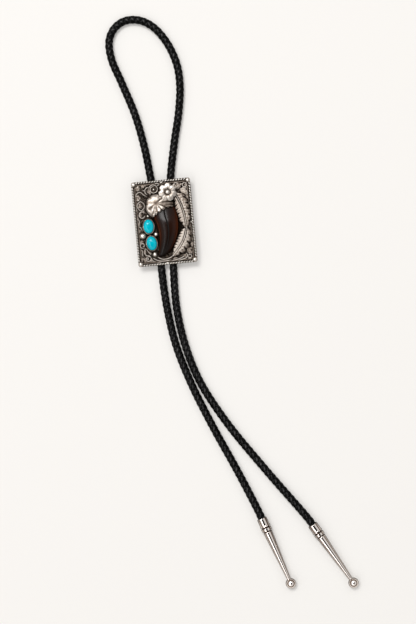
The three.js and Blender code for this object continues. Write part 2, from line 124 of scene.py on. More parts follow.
# Beads: x, y, radius.
BEADS = [
    (-18.5, -9.8, 2.6),
    (-7.6, -9.2, 1.8),
    (-10.0, -25.6, 2.0),
    (-12.9, 6.2, 1.1),
    (-6.2, 27.4, 0.8),
    (-14.7, 27.3, 0.6),
    (-2.6, 30.6, 0.5),
    (-19.2, 30.5, 0.7),
    (-16.0, -28.8, 0.7),
    (0.5, 32.6, 0.9),
    (-0.6, -33.4, 0.9),
    (22.0, -1.6, 0.75),
]
STONES = [
    {"name": "turquoise_upper", "x": -13.0, "y": -2.4, "tilt": 0},
    {"name": "turquoise_lower", "x": -11.7, "y": -16.3, "tilt": 5},
]
STONE_HALF = (4.1, 5.7)
STONE_GAP = 0.3
BEZEL_HEIGHT = 2.3

# Scrolls: a spiral of wire about a centre. x, y, outer radius, inner radius, start and turn in degrees.
SCROLLS = [
    (-6.3, 27.5, 4.0, 2.3, 200, -500),
    (-10.3, 26.3, 3.4, 3.0, 80, 170),
    (-17.3, 7.2, 3.1, 2.0, 20, 330),
    (-19.3, -17.4, 2.4, 1.0, -60, -400),
    (-15.7, -28.7, 2.7, 1.3, 130, -440),
    (12.3, 29.2, 2.4, 1.2, 0, 400),
    (19.3, 29.0, 1.7, 1.7, 0, 360),
    (20.6, 2.9, 1.3, 1.3, 0, 360),
    (20.2, -10.8, 1.9, 1.0, 90, -380),
    (18.4, -29.3, 1.9, 1.0, 120, 400),
]

# Tendrils: wires through a few points.
TENDRILS = [
    [(-12.0, 21.8), (-14.5, 23.5), (-16.5, 25.6), (-18.5, 26.2), (-20.5, 24.8), (-20.9, 23), (-19.7, 22.3)],
    [(-17.8, 18.7), (-15.4, 16.6), (-14.8, 14.2), (-16.2, 12.0), (-17.8, 10.9), (-19.4, 12.0), (-20.8, 14.6),
     (-20.0, 17.0), (-17.8, 18.7)],
    [(-5.0, 31.4), (-3.5, 32.2), (-1.9, 31.8), (-1.5, 30.9), (-2.2, 30.0)],
    [(-21.2, -1.6), (-19.2, -3.2), (-18.2, -6.0)],
    [(-20.9, 4.2), (-20.0, 2.0), (-20.8, -0.4)],
    [(-17.2, -19.5), (-17.9, -22.5), (-17.4, -25.4), (-14.6, -26.8), (-13.2, -28.4), (-12.6, -30.4),
     (-9.5, -31.6)],
    [(-16.8, -20.2), (-14.6, -23.6), (-12.8, -25.8)],
    [(-11.8, -28.2), (-9.5, -29.9), (-6.5, -31.2), (-2.0, -31.6), (3.0, -31.0)],
    [(-7.9, -27.8), (-6.0, -29.2), (-3.4, -30.1), (0.0, -30.0), (3.0, -28.9), (5.4, -27.2)],
    [(3.0, -31.8), (7.0, -31.3), (11.0, -30.4), (14.6, -28.6)],
    [(8.0, -32.2), (11.5, -31.6), (15.4, -30.4), (16.4, -28.4), (15.2, -26.6)],
    [(15.0, 26.0), (18.6, 26.0), (20.8, 23.4), (21.0, 20.2)],
    [(-20.8, -20.5), (-19.9, -22.4), (-20.3, -24.6), (-19.6, -26.6)],
    [(-21.0, 20.0), (-19.4, 19.4), (-18.6, 20.6)],
]

# Small chased leaves on the ground: x and y of the stalk, x and y of the point, width.
SPRIGS = [
    (-16.4, 29.0, -11.6, 31.3, 1.9),
    (-17.4, 27.6, -20.8, 31.2, 2.2),
    (-18.2, 27.6, -17.6, 31.6, 1.8),
    (-17.9, 19.2, -19.0, 24.2, 2.6),
    (-11.8, 26.8, -9.0, 23.4, 2.0),
    (-17.6, 12.6, -18.2, 17.2, 2.2),
    (-18.6, 5.2, -18.2, 9.2, 2.0),
    (-15.8, 8.4, -15.2, 11.6, 1.4),
    (-13.2, 4.6, -14.6, 2.8, 1.2),
    (-20.9, 9.8, -21.2, 13.6, 1.2),
    (-20.4, 3.0, -21.2, 6.6, 1.4),
    (-19.6, -1.0, -21.4, 1.8, 1.6),
    (-20.6, -4.0, -21.2, -7.0, 1.4),
    (-19.6, -12.8, -21.3, -15.6, 1.6),
    (-18.2, -21.0, -19.0, -24.8, 1.7),
    (-20.8, -26.8, -21.0, -30.6, 1.6),
    (-18.8, -27.0, -18.6, -31.8, 2.1),
    (-14.2, -31.6, -12.2, -29.4, 1.6),
    (-15.4, -23.6, -12.6, -24.8, 1.4),
    (13.0, 25.8, 11.0, 31.4, 2.3),
    (13.4, 26.2, 14.6, 31.2, 2.3),
    (13.8, 26.0, 17.6, 30.2, 2.0),
    (14.6, 25.4, 20.8, 21.0, 4.4),
    (15.6, 22.8, 21.2, 17.0, 2.6),
    (20.6, 26.6, 21.4, 31.6, 1.5),
    (17.0, 25.6, 21.0, 26.0, 1.4),
    (21.4, 15.6, 21.2, 11.6, 1.2),
    (20.0, -6.4, 21.4, -3.6, 1.4),
    (20.6, -14.4, 21.4, -17.4, 1.5),
    (20.8, -17.6, 20.4, -22.0, 2.0),
    (16.4, -25.4, 20.8, -23.2, 2.4),
    (16.6, -26.0, 20.8, -27.6, 2.4),
    (12.6, -28.0, 15.6, -30.2, 1.8),
    (4.4, -31.0, 8.4, -30.2, 1.5),
    (19.6, -30.2, 16.2, -31.8, 1.5),
    (-5.2, -31.6, -8.8, -32.2, 1.2),
    (-7.0, -22.4, -6.4, -19.0, 1.2),
]

# The leaves' spines: x, y and the half width to each side, from the stalk to the point.
UPPER_FEATHER = [
    (10.2, 23.4, 1.6, 0.8),
    (12.6, 19.2, 6.0, 3.2),
    (14.6, 14.4, 6.6, 5.2),
    (15.9, 10.0, 6.0, 6.2),
    (16.9, 5.0, 5.4, 5.6),
    (17.5, 0.0, 4.4, 5.0),
    (17.8, -6.4, 0.9, 1.2),
]
LOWER_FEATHER = [
    (17.8, -4.8, 1.6, 1.2),
    (16.8, -9.6, 4.8, 4.4),
    (15.0, -14.6, 6.2, 5.4),
    (12.3, -19.2, 6.4, 5.2),
    (8.9, -23.4, 5.2, 4.2),
    (4.4, -28.2, 0.9, 0.7),
]

# The cap leaf's lobes: where one starts, and the point that it bulges towards.
CAP_LEAF = [
    (-1.0, 22.6, -6.5, 24.8),
    (-10.3, 21.4, -13.0, 19.4),
    (-13.4, 15.6, -15.4, 10.6),
    (-9.3, 4.8, -7.4, 4.6),
    (-6.6, 6.6, -5.6, 5.6),
    (-4.2, 8.6, -2.6, 7.4),
    (-0.9, 10.2, 0.9, 8.6),
    (2.7, 12.2, 4.4, 10.4),
    (6.2, 12.6, 8.0, 10.6),
    (8.8, 13.6, 8.9, 18.6),
]
CAP_HUB = (-5.2, 16.0)
# Its folds, from the hub: where one ends, its width there and how deep it is.
CAP_FOLDS = [
    (-0.4, 19.4, 0.6, 1.0),
    (-12.6, 17.4, 0.9, 0.45),
    (-10.8, 11.4, 0.9, 0.9),
    (-8.0, 7.4, 0.6, 0.4),
    (-5.2, 8.6, 0.7, 0.6),
    (-1.4, 10.2, 0.6, 0.5),
    (2.0, 12.6, 0.8, 0.8),
    (6.4, 13.4, 0.6, 0.6),
    (8.4, 16.4, 0.8, 1.0),
]
CAP_DOME = {"x": -2, "y": 9.5, "sink": 2, "radii": (20, 19, 8)}

FLOWER = {"x": 5.1, "y": 23.9, "petals": 7, "first": 85, "heart": 2.0, "rise": 4.8}

# The claw, section by section: y, left edge, right edge, crown above its flat back.
CLAW = [
    (13.5, -5.0, 8.2, 2.6),
    (9.0, -7.6, 10.4, 3.8),
    (4.0, -7.8, 11.2, 4.9),
    (0.0, -6.4, 11.4, 5.5),
    (-5.0, -5.3, 11.1, 5.5),
    (-10.0, -4.9, 10.1, 5.2),
    (-15.0, -5.1, 8.3, 4.6),
    (-20.0, -5.9, 5.6, 3.8),
    (-24.0, -6.7, 2.4, 2.9),
    (-26.4, -6.9, -1.4, 2.1),
    (-27.6, -6.5, -4.0, 1.3),
]

# How each silver piece was rubbed: its material's ending, how clean it is, the heights above the plate's
# face where the cloth starts to reach and reaches fully, how near something taller keeps the cloth away,
# and the angle in degrees over which its edges look sharp.
WEAR = {
    "plate": ("ground", 0.0, -0.3, 1.2, 2.4, 50),
    "rope_border": ("rope", 0.26, 0.5, 1.0, 1.1, 60),
    "border_wire": ("border", 0.14, -0.3, 1.4, 1.1, 35),
    "scroll_wires": ("wire", -0.03, -0.3, 1.0, 1.6, 60),
    "beads": ("bead", 0.5, -0.3, 1.4, 1.1, 35),
    "small_leaves": ("sprig", -0.04, -0.3, 1.0, 2.0, 50),
    "upper_feather": ("upper_feather", -0.17, -0.3, 2.5, 1.1, 50),
    "lower_feather": ("lower_feather", -0.07, -0.3, 2.5, 1.1, 50),
    "cap_leaf": ("cap", -0.2, -0.3, 3.2, 1.1, 50),
    "flower_petals": ("petal", -0.14, -0.3, 5.0, 1.1, 50),
    "flower_heart": ("heart", 0.2, -0.3, 6.5, 1.1, 35),
    "bezels": ("bezel", 0.3, -0.3, 2.2, 1.1, 50),
}


def linear(code):
    """An sRGB hex colour as linear numbers, with no transparency."""
    parts = [int(code[i : i + 2], 16) / 255 for i in (1, 3, 5)]
    return (*(c / 12.92 if c <= 0.04045 else ((c + 0.055) / 1.055) ** 2.4 for c in parts), 1.0)


# ---- settings ----


def size(name, description, millimetres):
    """A length that a user can change."""
    return bpy.props.FloatProperty(
        name=name, description=description, default=millimetres * MM, unit="LENGTH"
    )


def power(name, watts):
    """A light's power, that a user can change."""
    return bpy.props.FloatProperty(
        name=name, description="Power in W", default=watts, min=0, unit="POWER"
    )


def colour(name, description, code):
    """A colour that a user can change."""
    return bpy.props.FloatVectorProperty(
        name=name, description=description, default=linear(code), size=4, min=0, max=1, subtype="COLOR"
    )


class BoloCordSettings(bpy.types.PropertyGroup):
    """Sizes of the braided cord."""

    pitch: size("Braid pitch", "Length of cord in which a strand goes once round", 19.0)
    strand_width: size("Strand width", "Width of one leather strand", 2.85)
    strand_thickness: size("Strand thickness", "Thickness of one leather strand", 0.8)
    weave: size("Weave height", "How far a strand rises over another", 0.18)


class BoloSlideSettings(bpy.types.PropertyGroup):
    """Sizes of the slide's ornament."""

    wire: size("Wire radius", "Radius of the scroll wire", 0.47)
    rope_pitch: size("Rope pitch", "Distance between two strands of the rope border", 2.2)
    leaf_crown: size("Leaf crown", "How far the middle of a long leaf rises over its edge", 1.0)
    claw_groove: size("Claw groove", "Depth of the groove down the claw", 0.14)


class BoloColours(bpy.types.PropertyGroup):
    """Colours of the finishes."""

    silver: colour("Silver", "Rubbed high points of the silver", "#DED8D0")
    worn: colour("Worn silver", "Half cleaned silver", "#70645A")
    oxide: colour("Oxide", "Blackened recesses of the silver", "#120E0A")
    nickel: colour("Nickel", "Polished tips", "#E8DFD8")
    # Tarnish in the tips' grooves, and painted shade on their flanks
    tarnish_and_painted_shade: colour("Tarnish", "Grooves and flanks of the tips", "#3A2C24")
    turquoise: colour("Turquoise", "Body of the stones", "#00ACBC")
    turquoise_deep: colour("Deep turquoise", "Clouds in the stones", "#0094A6")
    horn: colour("Horn", "Body of the claw", "#0D0705")
    # Painted glow: amber for light coming through the claw's thin edges
    amber_painted_glow: colour("Amber", "Thin edges of the claw", "#54250D")
    leather: colour("Leather", "Dyed leather of the cord", "#020202")
    # Scuffs and a painted sheen on the upper crowns of the strands
    scuff_and_painted_sheen: colour("Scuffed leather", "Crowns of the cord's strands", "#434242")
    floor: colour("Floor", "Frosted sheet that the tie lies on", "#C1BFBC")


class BoloStageSettings(bpy.types.PropertyGroup):
    """Camera and light."""

    lens: bpy.props.FloatProperty(
        name="Lens", description="Focal length in mm", default=85.0, unit="CAMERA"
    )
    view_height: size("View height", "Height of what the camera sees", 511.7)
    strip_power: power("Strip softbox", 36.0)
    top_power: power("Top light", 80.0)
    sky: bpy.props.FloatProperty(name="Room light", description="Strength of the room's light", default=1.0)


# ---- shape helpers ----


def along(rows, share):
    """The smooth value between rows of numbers, at a share from 0 to 1 of the way through them."""
    spot = min(max(share, 0.0), 1.0) * (len(rows) - 1)
    index = min(int(spot), len(rows) - 2)
    t = spot - index
    b = rows[index]
    c = rows[index + 1]
    a = rows[index - 1] if index > 0 else [2 * p - q for p, q in zip(b, c)]
    d = rows[index + 2] if index + 2 < len(rows) else [2 * q - p for p, q in zip(b, c)]
    value = []
    for p, q, r, s in zip(a, b, c, d):
        bend = (2 * p - 5 * q + 4 * r - s) * t * t + (3 * q - p - 3 * r + s) * t**3
        value.append(0.5 * (2 * q + (r - p) * t + bend))
    return value


def bump(distance, width):
    """A smooth hump: 1 at no distance, fading out over the width."""
    return math.exp(-((distance / width) ** 2))


def new_part():
    """An empty bmesh with a layer of tones: how dark the silver or nickel is, with painted shade in places,
    how scuffed and sheened the leather, or how much painted glow the claw has.
    """
    part = bmesh.new()
    part.verts.layers.float.new("tone")
    return part


def sheet(columns, rows, place, weld=0.0):
    """A grid whose corner (u, v), each from 0 to 1, goes to place(u, v): x, y, z and tone."""
    part = new_part()
    tone = part.verts.layers.float["tone"]
    bmesh.ops.create_grid(part, x_segments=columns, y_segments=rows, size=0.5)
    for vert in part.verts:
        x, y, z, dark = place(vert.co.x + 0.5, vert.co.y + 0.5)
        vert.co = (x, y, z)
        vert[tone] = dark
    if weld:
        bmesh.ops.remove_doubles(part, verts=part.verts, dist=weld)
    return part


def drop_walls(part, foot=None, depth=0.0):
    """Gives a shaped sheet walls, and a back that is flat at the height foot or a depth below its face."""
    for element in bmesh.ops.extrude_face_region(part, geom=part.faces[:])["geom"]:
        if isinstance(element, bmesh.types.BMVert):
            element.co.z = element.co.z - depth if foot is None else foot
    return part


def dome(radius, foot, rise, steps, start=0.0, power=1.0):
    """A dome's rows of radius and height, from a start in radians, 0 at its foot, to its top."""
    turns = (start + (math.pi / 2 - start) * step / steps for step in range(steps + 1))
    return [(radius * max(math.cos(turn), 0) ** power, foot + rise * math.sin(turn)) for turn in turns]


def arc(x, y, radius, start, end, steps=6):
    """Points along an arc, in degrees."""
    turns = (math.radians(start + (end - start) * step / steps) for step in range(steps + 1))
    return [(x + radius * math.cos(turn), y + radius * math.sin(turn)) for turn in turns]


def rounded_loop(half_x, half_y, corner):
    """A rounded rectangle, whose last point is its first."""
    x, y = half_x - corner, half_y - corner
    points = []
    for middle_x, middle_y, start in ((x, y, 0), (-x, y, 90), (-x, -y, 180), (x, -y, 270)):
        points += arc(middle_x, middle_y, corner, start, start + 90, 12)
    return [Vector(point) for point in (*points, points[0])]


def distances(points):
    """How far along a line of points each one is."""
    reach = [0.0]
    for p, q in zip(points, points[1:]):
        reach.append(reach[-1] + math.dist(p, q))
    return reach


def evenly(points, count):
    """The ends of count equal steps along a line of points, each with the way along the line there."""
    reach = distances(points)
    rows = []
    index = 0
    for step in range(count + 1):
        goal = reach[-1] * step / count
        while index + 2 < len(reach) and reach[index + 1] <= goal:
            index += 1
        p, q = points[index : index + 2]
        share = (goal - reach[index]) / (reach[index + 1] - reach[index])
        rows.append((p.lerp(q, share), (q - p).normalized()))
    return rows


def lathe(profile, steps):
    """Rows of radius and height, turned once about Z."""
    part = new_part()
    verts = [part.verts.new((radius, 0, height)) for radius, height in profile]
    edges = [part.edges.new(pair) for pair in zip(verts, verts[1:])]
    bmesh.ops.spin(
        part, geom=verts + edges, cent=(0, 0, 0), axis=(0, 0, 1), angle=math.tau, steps=steps, use_merge=True
    )
    bmesh.ops.remove_doubles(part, verts=part.verts, dist=1e-4)
    return part


def moved(part, x, y, z, turn=0.0):
    """The part turned about Z by degrees and then shifted."""
    part.transform(Matrix.Translation((x, y, z)) @ Matrix.Rotation(math.radians(turn), 4, "Z"))
    return part


def linked(name, data):
    """A new object in the scene."""
    made = bpy.data.objects.new(name, data)
    bpy.context.collection.objects.link(made)
    return made


def wires(runs, radius, sides=3, taper=0.45):
    """Round wires through runs of points, each thinner at its two ends unless it closes on itself."""
    curve = bpy.data.curves.new("wires", "CURVE")
    curve.dimensions = "3D"
    curve.bevel_depth = radius
    curve.bevel_resolution = sides
    curve.use_fill_caps = True
    for run in runs:
        closed = (Vector(run[0]) - Vector(run[-1])).length < 1e-3
        points = run[:-1] if closed else run
        spline = curve.splines.new("POLY")
        spline.points.add(len(points) - 1)
        spline.use_cyclic_u = closed
        for index, point in enumerate(points):
            spline.points[index].co = (*point, 1.0)
            share = index / (len(points) - 1)
            ends = min(1.0, taper + 5 * min(share, 1 - share))
            spline.points[index].radius = 1.0 if closed else ends
    carrier = linked("wires", curve)
    ready = carrier.evaluated_get(bpy.context.evaluated_depsgraph_get())
    mesh = bpy.data.meshes.new_from_object(ready)
    part = new_part()
    part.from_mesh(mesh)
    bmesh.ops.remove_doubles(part, verts=part.verts, dist=1e-4)
    bpy.data.objects.remove(carrier)
    bpy.data.curves.remove(curve)
    bpy.data.meshes.remove(mesh)
    return part


def joined(parts):
    """Several parts as one bmesh."""
    whole = new_part()
    carrier = bpy.data.meshes.new("carrier")
    for part in parts:
        part.to_mesh(carrier)
        whole.from_mesh(carrier)
        part.free()
    bpy.data.meshes.remove(carrier)
    return whole


def piece(name, parts, material, nodes, sharp=35):
    """Finishes a piece: one mesh in metres, which rides on the body and stands for the CAD nodes."""
    whole = joined(parts)
    bmesh.ops.recalc_face_normals(whole, faces=whole.faces)
    whole.transform(Matrix.Scale(MM, 4))
    mesh = bpy.data.meshes.new(name)
    whole.to_mesh(mesh)
    whole.free()
    mesh.shade_smooth()
    mesh.set_sharp_from_angle(angle=math.radians(sharp))
    mesh.materials.append(material)
    made = linked(name, mesh)
    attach(made, BODY)
    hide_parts(*nodes)
    return made


def silver_piece(name, parts):
    """Finishes a silver piece of the slide, rubbed as WEAR says."""
    ending, *rubbing, sharp = WEAR[name]
    silver = oxidised_silver("oxidised_silver_" + ending, bpy.context.scene.bolo_colours, *rubbing)
    return piece(name, parts, silver, ["slide_plate"], sharp)


def soften(made, width, segments, least):
    """Rounds the piece's edges that turn by more than least degrees."""
    edge = made.modifiers.new("edge", "BEVEL")
    edge.width = width * MM
    edge.segments = segments
    edge.limit_method = "ANGLE"
    edge.angle_limit = math.radians(least)


# ---- materials ----


def add_node(tree, kind, sockets=None, stops=None, **settings):
    """Adds a shader node. A socket gets a number, a colour or another node's output; stops are a ramp's."""
    made = tree.nodes.new("ShaderNode" + kind)
    for name, value in settings.items():
        setattr(made, name, value)
    for name, value in (sockets or {}).items():
        if isinstance(value, bpy.types.NodeSocket):
            tree.links.new(value, made.inputs[name])
        else:
            made.inputs[name].default_value = value
    if stops:
        while len(made.color_ramp.elements) < len(stops):
            made.color_ramp.elements.new(0.5)
        for element, (position, shade) in zip(made.color_ramp.elements, stops):
            element.position = position
            element.color = shade
    return made


def grey(value):
    """A grey of that linear value."""
    return (value, value, value, 1.0)


def new_material(name):
    """An empty node material: the material, its tree and the place in Object coordinates."""
    material = bpy.data.materials.new(name)
    material.use_nodes = True
    tree = material.node_tree
    tree.nodes.clear()
    return material, tree, add_node(tree, "TexCoord").outputs["Object"]


def finished(material, sockets):
    """The material, with a Principled shader that has those sockets."""
    shader = add_node(material.node_tree, "BsdfPrincipled", sockets)
    add_node(material.node_tree, "OutputMaterial", {"Surface": shader.outputs["BSDF"]})
    return material


def tones(tree):
    """The tones that the piece's vertices carry."""
    return add_node(tree, "Attribute", attribute_name="tone").outputs["Fac"]


def clouds(tree, place, width, detail=2.0, roughness=0.5):
    """Noise with cells of so many millimetres."""
    sockets = {"Vector": place, "Scale": 1 / (width * MM), "Detail": detail, "Roughness": roughness}
    return add_node(tree, "TexNoise", sockets).outputs["Fac"]


def streaks(tree, place, width, length, detail):
    """Noise in streaks along Y, of so many millimetres."""
    scale = (1 / (width * MM), 1 / (length * MM), 1 / (width * MM))
    drawn_out = add_node(tree, "Mapping", {"Vector": place, "Scale": scale}).outputs["Vector"]
    return add_node(tree, "TexNoise", {"Vector": drawn_out, "Scale": 1.0, "Detail": detail}).outputs["Fac"]


def mapped(tree, value, low, high, start=0.0, end=1.0):
    """The value's range from start to end, held and spread over low to high."""
    sockets = {"Value": value, "From Min": start, "From Max": end, "To Min": low, "To Max": high}
    return add_node(tree, "MapRange", sockets).outputs["Result"]


def product(tree, a, b, plus=0.0, clamp=False):
    """a times b, plus a third number."""
    return add_node(
        tree, "Math", {0: a, 1: b, 2: plus}, operation="MULTIPLY_ADD", use_clamp=clamp
    ).outputs[0]


def ramp(tree, value, *stops):
    """The value as a colour, from stops of a position and a colour."""
    return add_node(tree, "ValToRGB", {"Fac": value}, stops=stops).outputs["Color"]


def relief(tree, height, strength, depth):
    """A fine relief, so many millimetres deep."""
    sockets = {"Height": height, "Strength": strength, "Distance": depth * MM}
    return add_node(tree, "Bump", sockets).outputs["Normal"]


def oxidised_silver(name, colours, clean, low, high, reach):
    """Cast sterling silver, blackened and rubbed back.

    The recesses stay dark brown and dull, and the high points shine. clean shifts it towards bright metal.
    The rubbing cloth starts to reach at low and reaches fully at high, in millimetres above the plate's
    face, and it misses what lies within reach of something taller.
    """
    material, tree, place = new_material(name)
    height = add_node(tree, "SeparateXYZ", {"Vector": place}).outputs["Z"]
    rise = mapped(tree, height, 0.0, 1.0, (PLATE_FACE + low) * MM, (PLATE_FACE + high) * MM)
    open_sky = add_node(tree, "AmbientOcclusion", {"Distance": reach * MM}, samples=8).outputs["AO"]
    lit = product(tree, rise, mapped(tree, open_sky, 0.0, 1.0, 0.4, 0.9))
    # Casting grain and rubbing marks about 0.6 mm across.
    grain = clouds(tree, place, 0.6, 4.0, 0.6)
    rubbed = product(tree, lit, 0.85, product(tree, grain, 0.30, clean - 0.15))
    state = product(tree, tones(tree), -0.7, rubbed, clamp=True)
    shade = ramp(tree, state, (0.08, colours.oxide), (0.45, colours.worn), (1.0, colours.silver))
    dull = mapped(tree, state, 0.60, 0.30)
    fine = relief(tree, grain, 0.35, 0.08)
    return finished(material, {"Base Color": shade, "Metallic": 1.0, "Roughness": dull, "Normal": fine})


def polished_nickel(name, colours):
    """Turned and polished nickel silver: a mirror with a little handling haze, brown with tarnish in its
    grooves and with painted shade on its flanks.
    """
    material, tree, place = new_material(name)
    # Handling haze in patches of 4 mm.
    dull = mapped(tree, clouds(tree, place, 4, 5.0), 0.04, 0.11)
    # The tone is tarnish in the grooves and painted shade on the flanks.
    shade = ramp(tree, tones(tree), (0.0, colours.nickel), (1.0, colours.tarnish_and_painted_shade))
    return finished(material, {"Base Color": shade, "Metallic": 1.0, "Roughness": dull})


def brushed_nickel(name, colours):
    """Rolled nickel silver sheet, brushed along its length: a dull grey with fine straight lines."""
    material, tree, place = new_material(name)
    # Brush lines 0.2 mm apart across X and long in Y.
    lines = streaks(tree, place, 0.2, 9, 3.0)
    dull = mapped(tree, lines, 0.25, 0.45)
    fine = relief(tree, lines, 0.2, 0.03)
    sockets = {"Base Color": colours.worn, "Metallic": 1.0, "Roughness": dull, "Normal": fine}
    return finished(material, sockets)


def polished_turquoise(name, colours):
    """Polished turquoise: an opaque sky blue with soft deeper clouds under a waxy gloss."""
    material, tree, place = new_material(name)
    # Clouds 3.5 mm across.
    soft = clouds(tree, place, 3.5, 4.0, 0.6)
    shade = ramp(tree, soft, (0.30, colours.turquoise_deep), (0.55, colours.turquoise))
    return finished(material, {"Base Color": shade, "Roughness": 0.08, "Specular IOR Level": 0.2})


def polished_horn(name, colours):
    """A polished claw: near black keratin with fine streaks along it, and a painted amber glow at its thin
    edges, where light would come through.
    """
    material, tree, place = new_material(name)
    # Keratin fibres 0.5 mm wide that run the length of the claw.
    fibres = streaks(tree, place, 0.5, 14, 4.0)
    # The claw's tone is its painted glow, and below 0 its groove.
    painted_glow = tones(tree)
    # The groove, where the layer is below 0, was never polished.
    dull = mapped(tree, painted_glow, 0.9, 0.23, -0.6, -0.1)
    warm = product(tree, painted_glow, product(tree, fibres, 0.8, 0.5), clamp=True)
    shade = ramp(tree, warm, (0.0, colours.horn), (1.0, colours.amber_painted_glow))
    fine = relief(tree, fibres, 0.12, 0.06)
    sockets = {"Base Color": shade, "Roughness": dull, "Specular IOR Level": 0.13, "Normal": fine}
    return finished(material, sockets)


def braided_leather(name, colours):
    """Dyed calf leather in narrow strands: a soft black, painted grey on the crowns of the braid along its
    upper side, partly scuffs and partly a painted sheen.
    """
    material, tree, place = new_material(name)
    # Leather grain cells 0.35 mm across, and patches of 2.6 mm that vary the gloss and the grey of the
    # scuffs and painted sheen.
    cells = add_node(tree, "TexVoronoi", {"Vector": place, "Scale": 1 / (0.35 * MM)}).outputs["Distance"]
    scuffs = clouds(tree, place, 2.6, 4.0)
    dull = mapped(tree, scuffs, 0.2, 0.4)
    # Painted sheen: the tone paints the upper crowns grey, partly as scuffs and partly as a highlight.
    shade = ramp(tree, product(tree, tones(tree), scuffs), (0.2, colours.leather), (0.55, colours.scuff_and_painted_sheen))
    fine = relief(tree, cells, 0.2, 0.05)
    sockets = {"Base Color": shade, "Roughness": dull, "Specular IOR Level": 0.07, "Normal": fine}
    return finished(material, sockets)


# ---- operators ----


class BOLO_OT_stage(bpy.types.Operator):
    """Makes the pale floor, the soft lights and the camera."""

    bl_idname = "bolo.stage"
    bl_label = "Stage"

    target = (28.7, -76.4, 5.0)
    turn = -5.4  # degrees the camera is rolled, so that the tie hangs a little to the right

    def execute(self, context):
        settings = context.scene.bolo_stage
        self.make_camera(context.scene, settings)
        self.make_floor(context.scene)
        self.make_softbox("strip_softbox", (-1350, 0, 3300), (580, 5100), settings.strip_power)
        self.make_softbox("top_light", (-540, 1350, 3300), (1290, 1050), settings.top_power)
        self.make_room(context.scene, settings.sky)
        context.scene.view_settings.view_transform = "Standard"
        return {"FINISHED"}

    def make_camera(self, scene, settings):
        data = bpy.data.cameras.new("camera")
        data.sensor_fit = "VERTICAL"
        data.sensor_height = 36
        data.lens = settings.lens
        data.clip_end = 100
        camera = linked("camera", data)
        distance = settings.view_height * data.lens / data.sensor_height
        x, y, z = (value * MM for value in self.target)
        camera.location = (x, y, z + distance)
        camera.rotation_euler = (0, 0, math.radians(self.turn))
        scene.camera = camera

    def make_floor(self, scene):
        colours = scene.bolo_colours
        part = new_part()
        bmesh.ops.create_grid(part, x_segments=1, y_segments=1, size=6)
        mesh = bpy.data.meshes.new("floor")
        part.to_mesh(mesh)
        part.free()
        material, tree, place = new_material("frosted_acrylic")
        # A tooth of 2 mm, and a faint glow that keeps the shadows weak.
        sockets = {"Base Color": colours.floor, "Emission Color": colours.floor, "Emission Strength": 0.45}
        sockets |= {"Roughness": 0.9, "Normal": relief(tree, clouds(tree, place, 2), 0.05, 0.1)}
        mesh.materials.append(finished(material, sockets))
        linked("floor", mesh)

    def make_softbox(self, name, place, size_mm, power):
        data = bpy.data.lights.new(name, "AREA")
        data.shape = "RECTANGLE"
        data.size = size_mm[0] * MM
        data.size_y = size_mm[1] * MM
        data.energy = power
        light = linked(name, data)
        light.location = [value * MM for value in place]
        back = (Vector(place) - Vector(self.target)).normalized()
        across = Vector((0, 1, 0)).cross(back).normalized()
        light.rotation_euler = Matrix((across, back.cross(across), back)).transposed().to_euler()

    def make_room(self, scene, strength):
        """A pale room, dark straight overhead where the camera hangs."""
        world = bpy.data.worlds.new("room")
        world.use_nodes = True
        tree = world.node_tree
        tree.nodes.clear()
        way = add_node(tree, "SeparateXYZ", {"Vector": add_node(tree, "TexCoord").outputs["Generated"]})
        warm = (0.20, 0.15, 0.12, 1.0)
        pale = grey(1.0)
        stops = ((0.0, warm), (0.42, warm), (0.6, pale), (0.905, pale), (0.945, grey(0.01)))
        shade = ramp(tree, way.outputs["Z"], *stops)
        # The room is a fifth darker on the right.
        side = mapped(tree, way.outputs["X"], strength, 0.8 * strength, 0.0, 0.4)
        background = add_node(tree, "Background", {"Color": shade, "Strength": side})
        add_node(tree, "OutputWorld", {"Surface": background.outputs["Background"]})
        scene.world = world


def on_axis(tip, inward):
    """A point on a tip's axis, so far in from its mouth."""
    heading = math.radians(tip["heading"])
    return Vector((tip["x"] + inward * math.cos(heading), tip["y"] + inward * math.sin(heading), TIP_AXIS))


def cord_line(spacing):
    """Points evenly spaced along the cord's centreline, a centripetal curve through the route."""
    left, right = TIPS
    knots = [on_axis(left, inward) for inward in (SOCKET_SEAT, 1, -5)]
    knots += [Vector((x, y, CORD_IN_CLIP if abs(y) <= CLIP_REACH else CORD_REST)) for x, y in ROUTE]
    knots += [on_axis(right, inward) for inward in (-5, 1, SOCKET_SEAT)]
    knots = [2 * knots[0] - knots[1], *knots, 2 * knots[-1] - knots[-2]]
    steps = 40
    fine = [knots[1]]
    for a, b, c, d in zip(knots, knots[1:], knots[2:], knots[3:]):
        before, across, after = ((q - p).length ** 0.5 for p, q in ((a, b), (b, c), (c, d)))
        leave = ((b - a) / before - (c - a) / (before + across) + (c - b) / across) * across
        arrive = ((c - b) / across - (d - b) / (across + after) + (d - c) / after) * across
        for step in range(1, steps + 1):
            t = step / steps
            square = (3 * (c - b) - 2 * leave - arrive) * t * t
            cube = (2 * (b - c) + leave + arrive) * t**3
            fine.append(b + leave * t + square + cube)
    length = distances(fine)[-1]
    return [point for point, _ in evenly(fine, round(length / spacing))], length


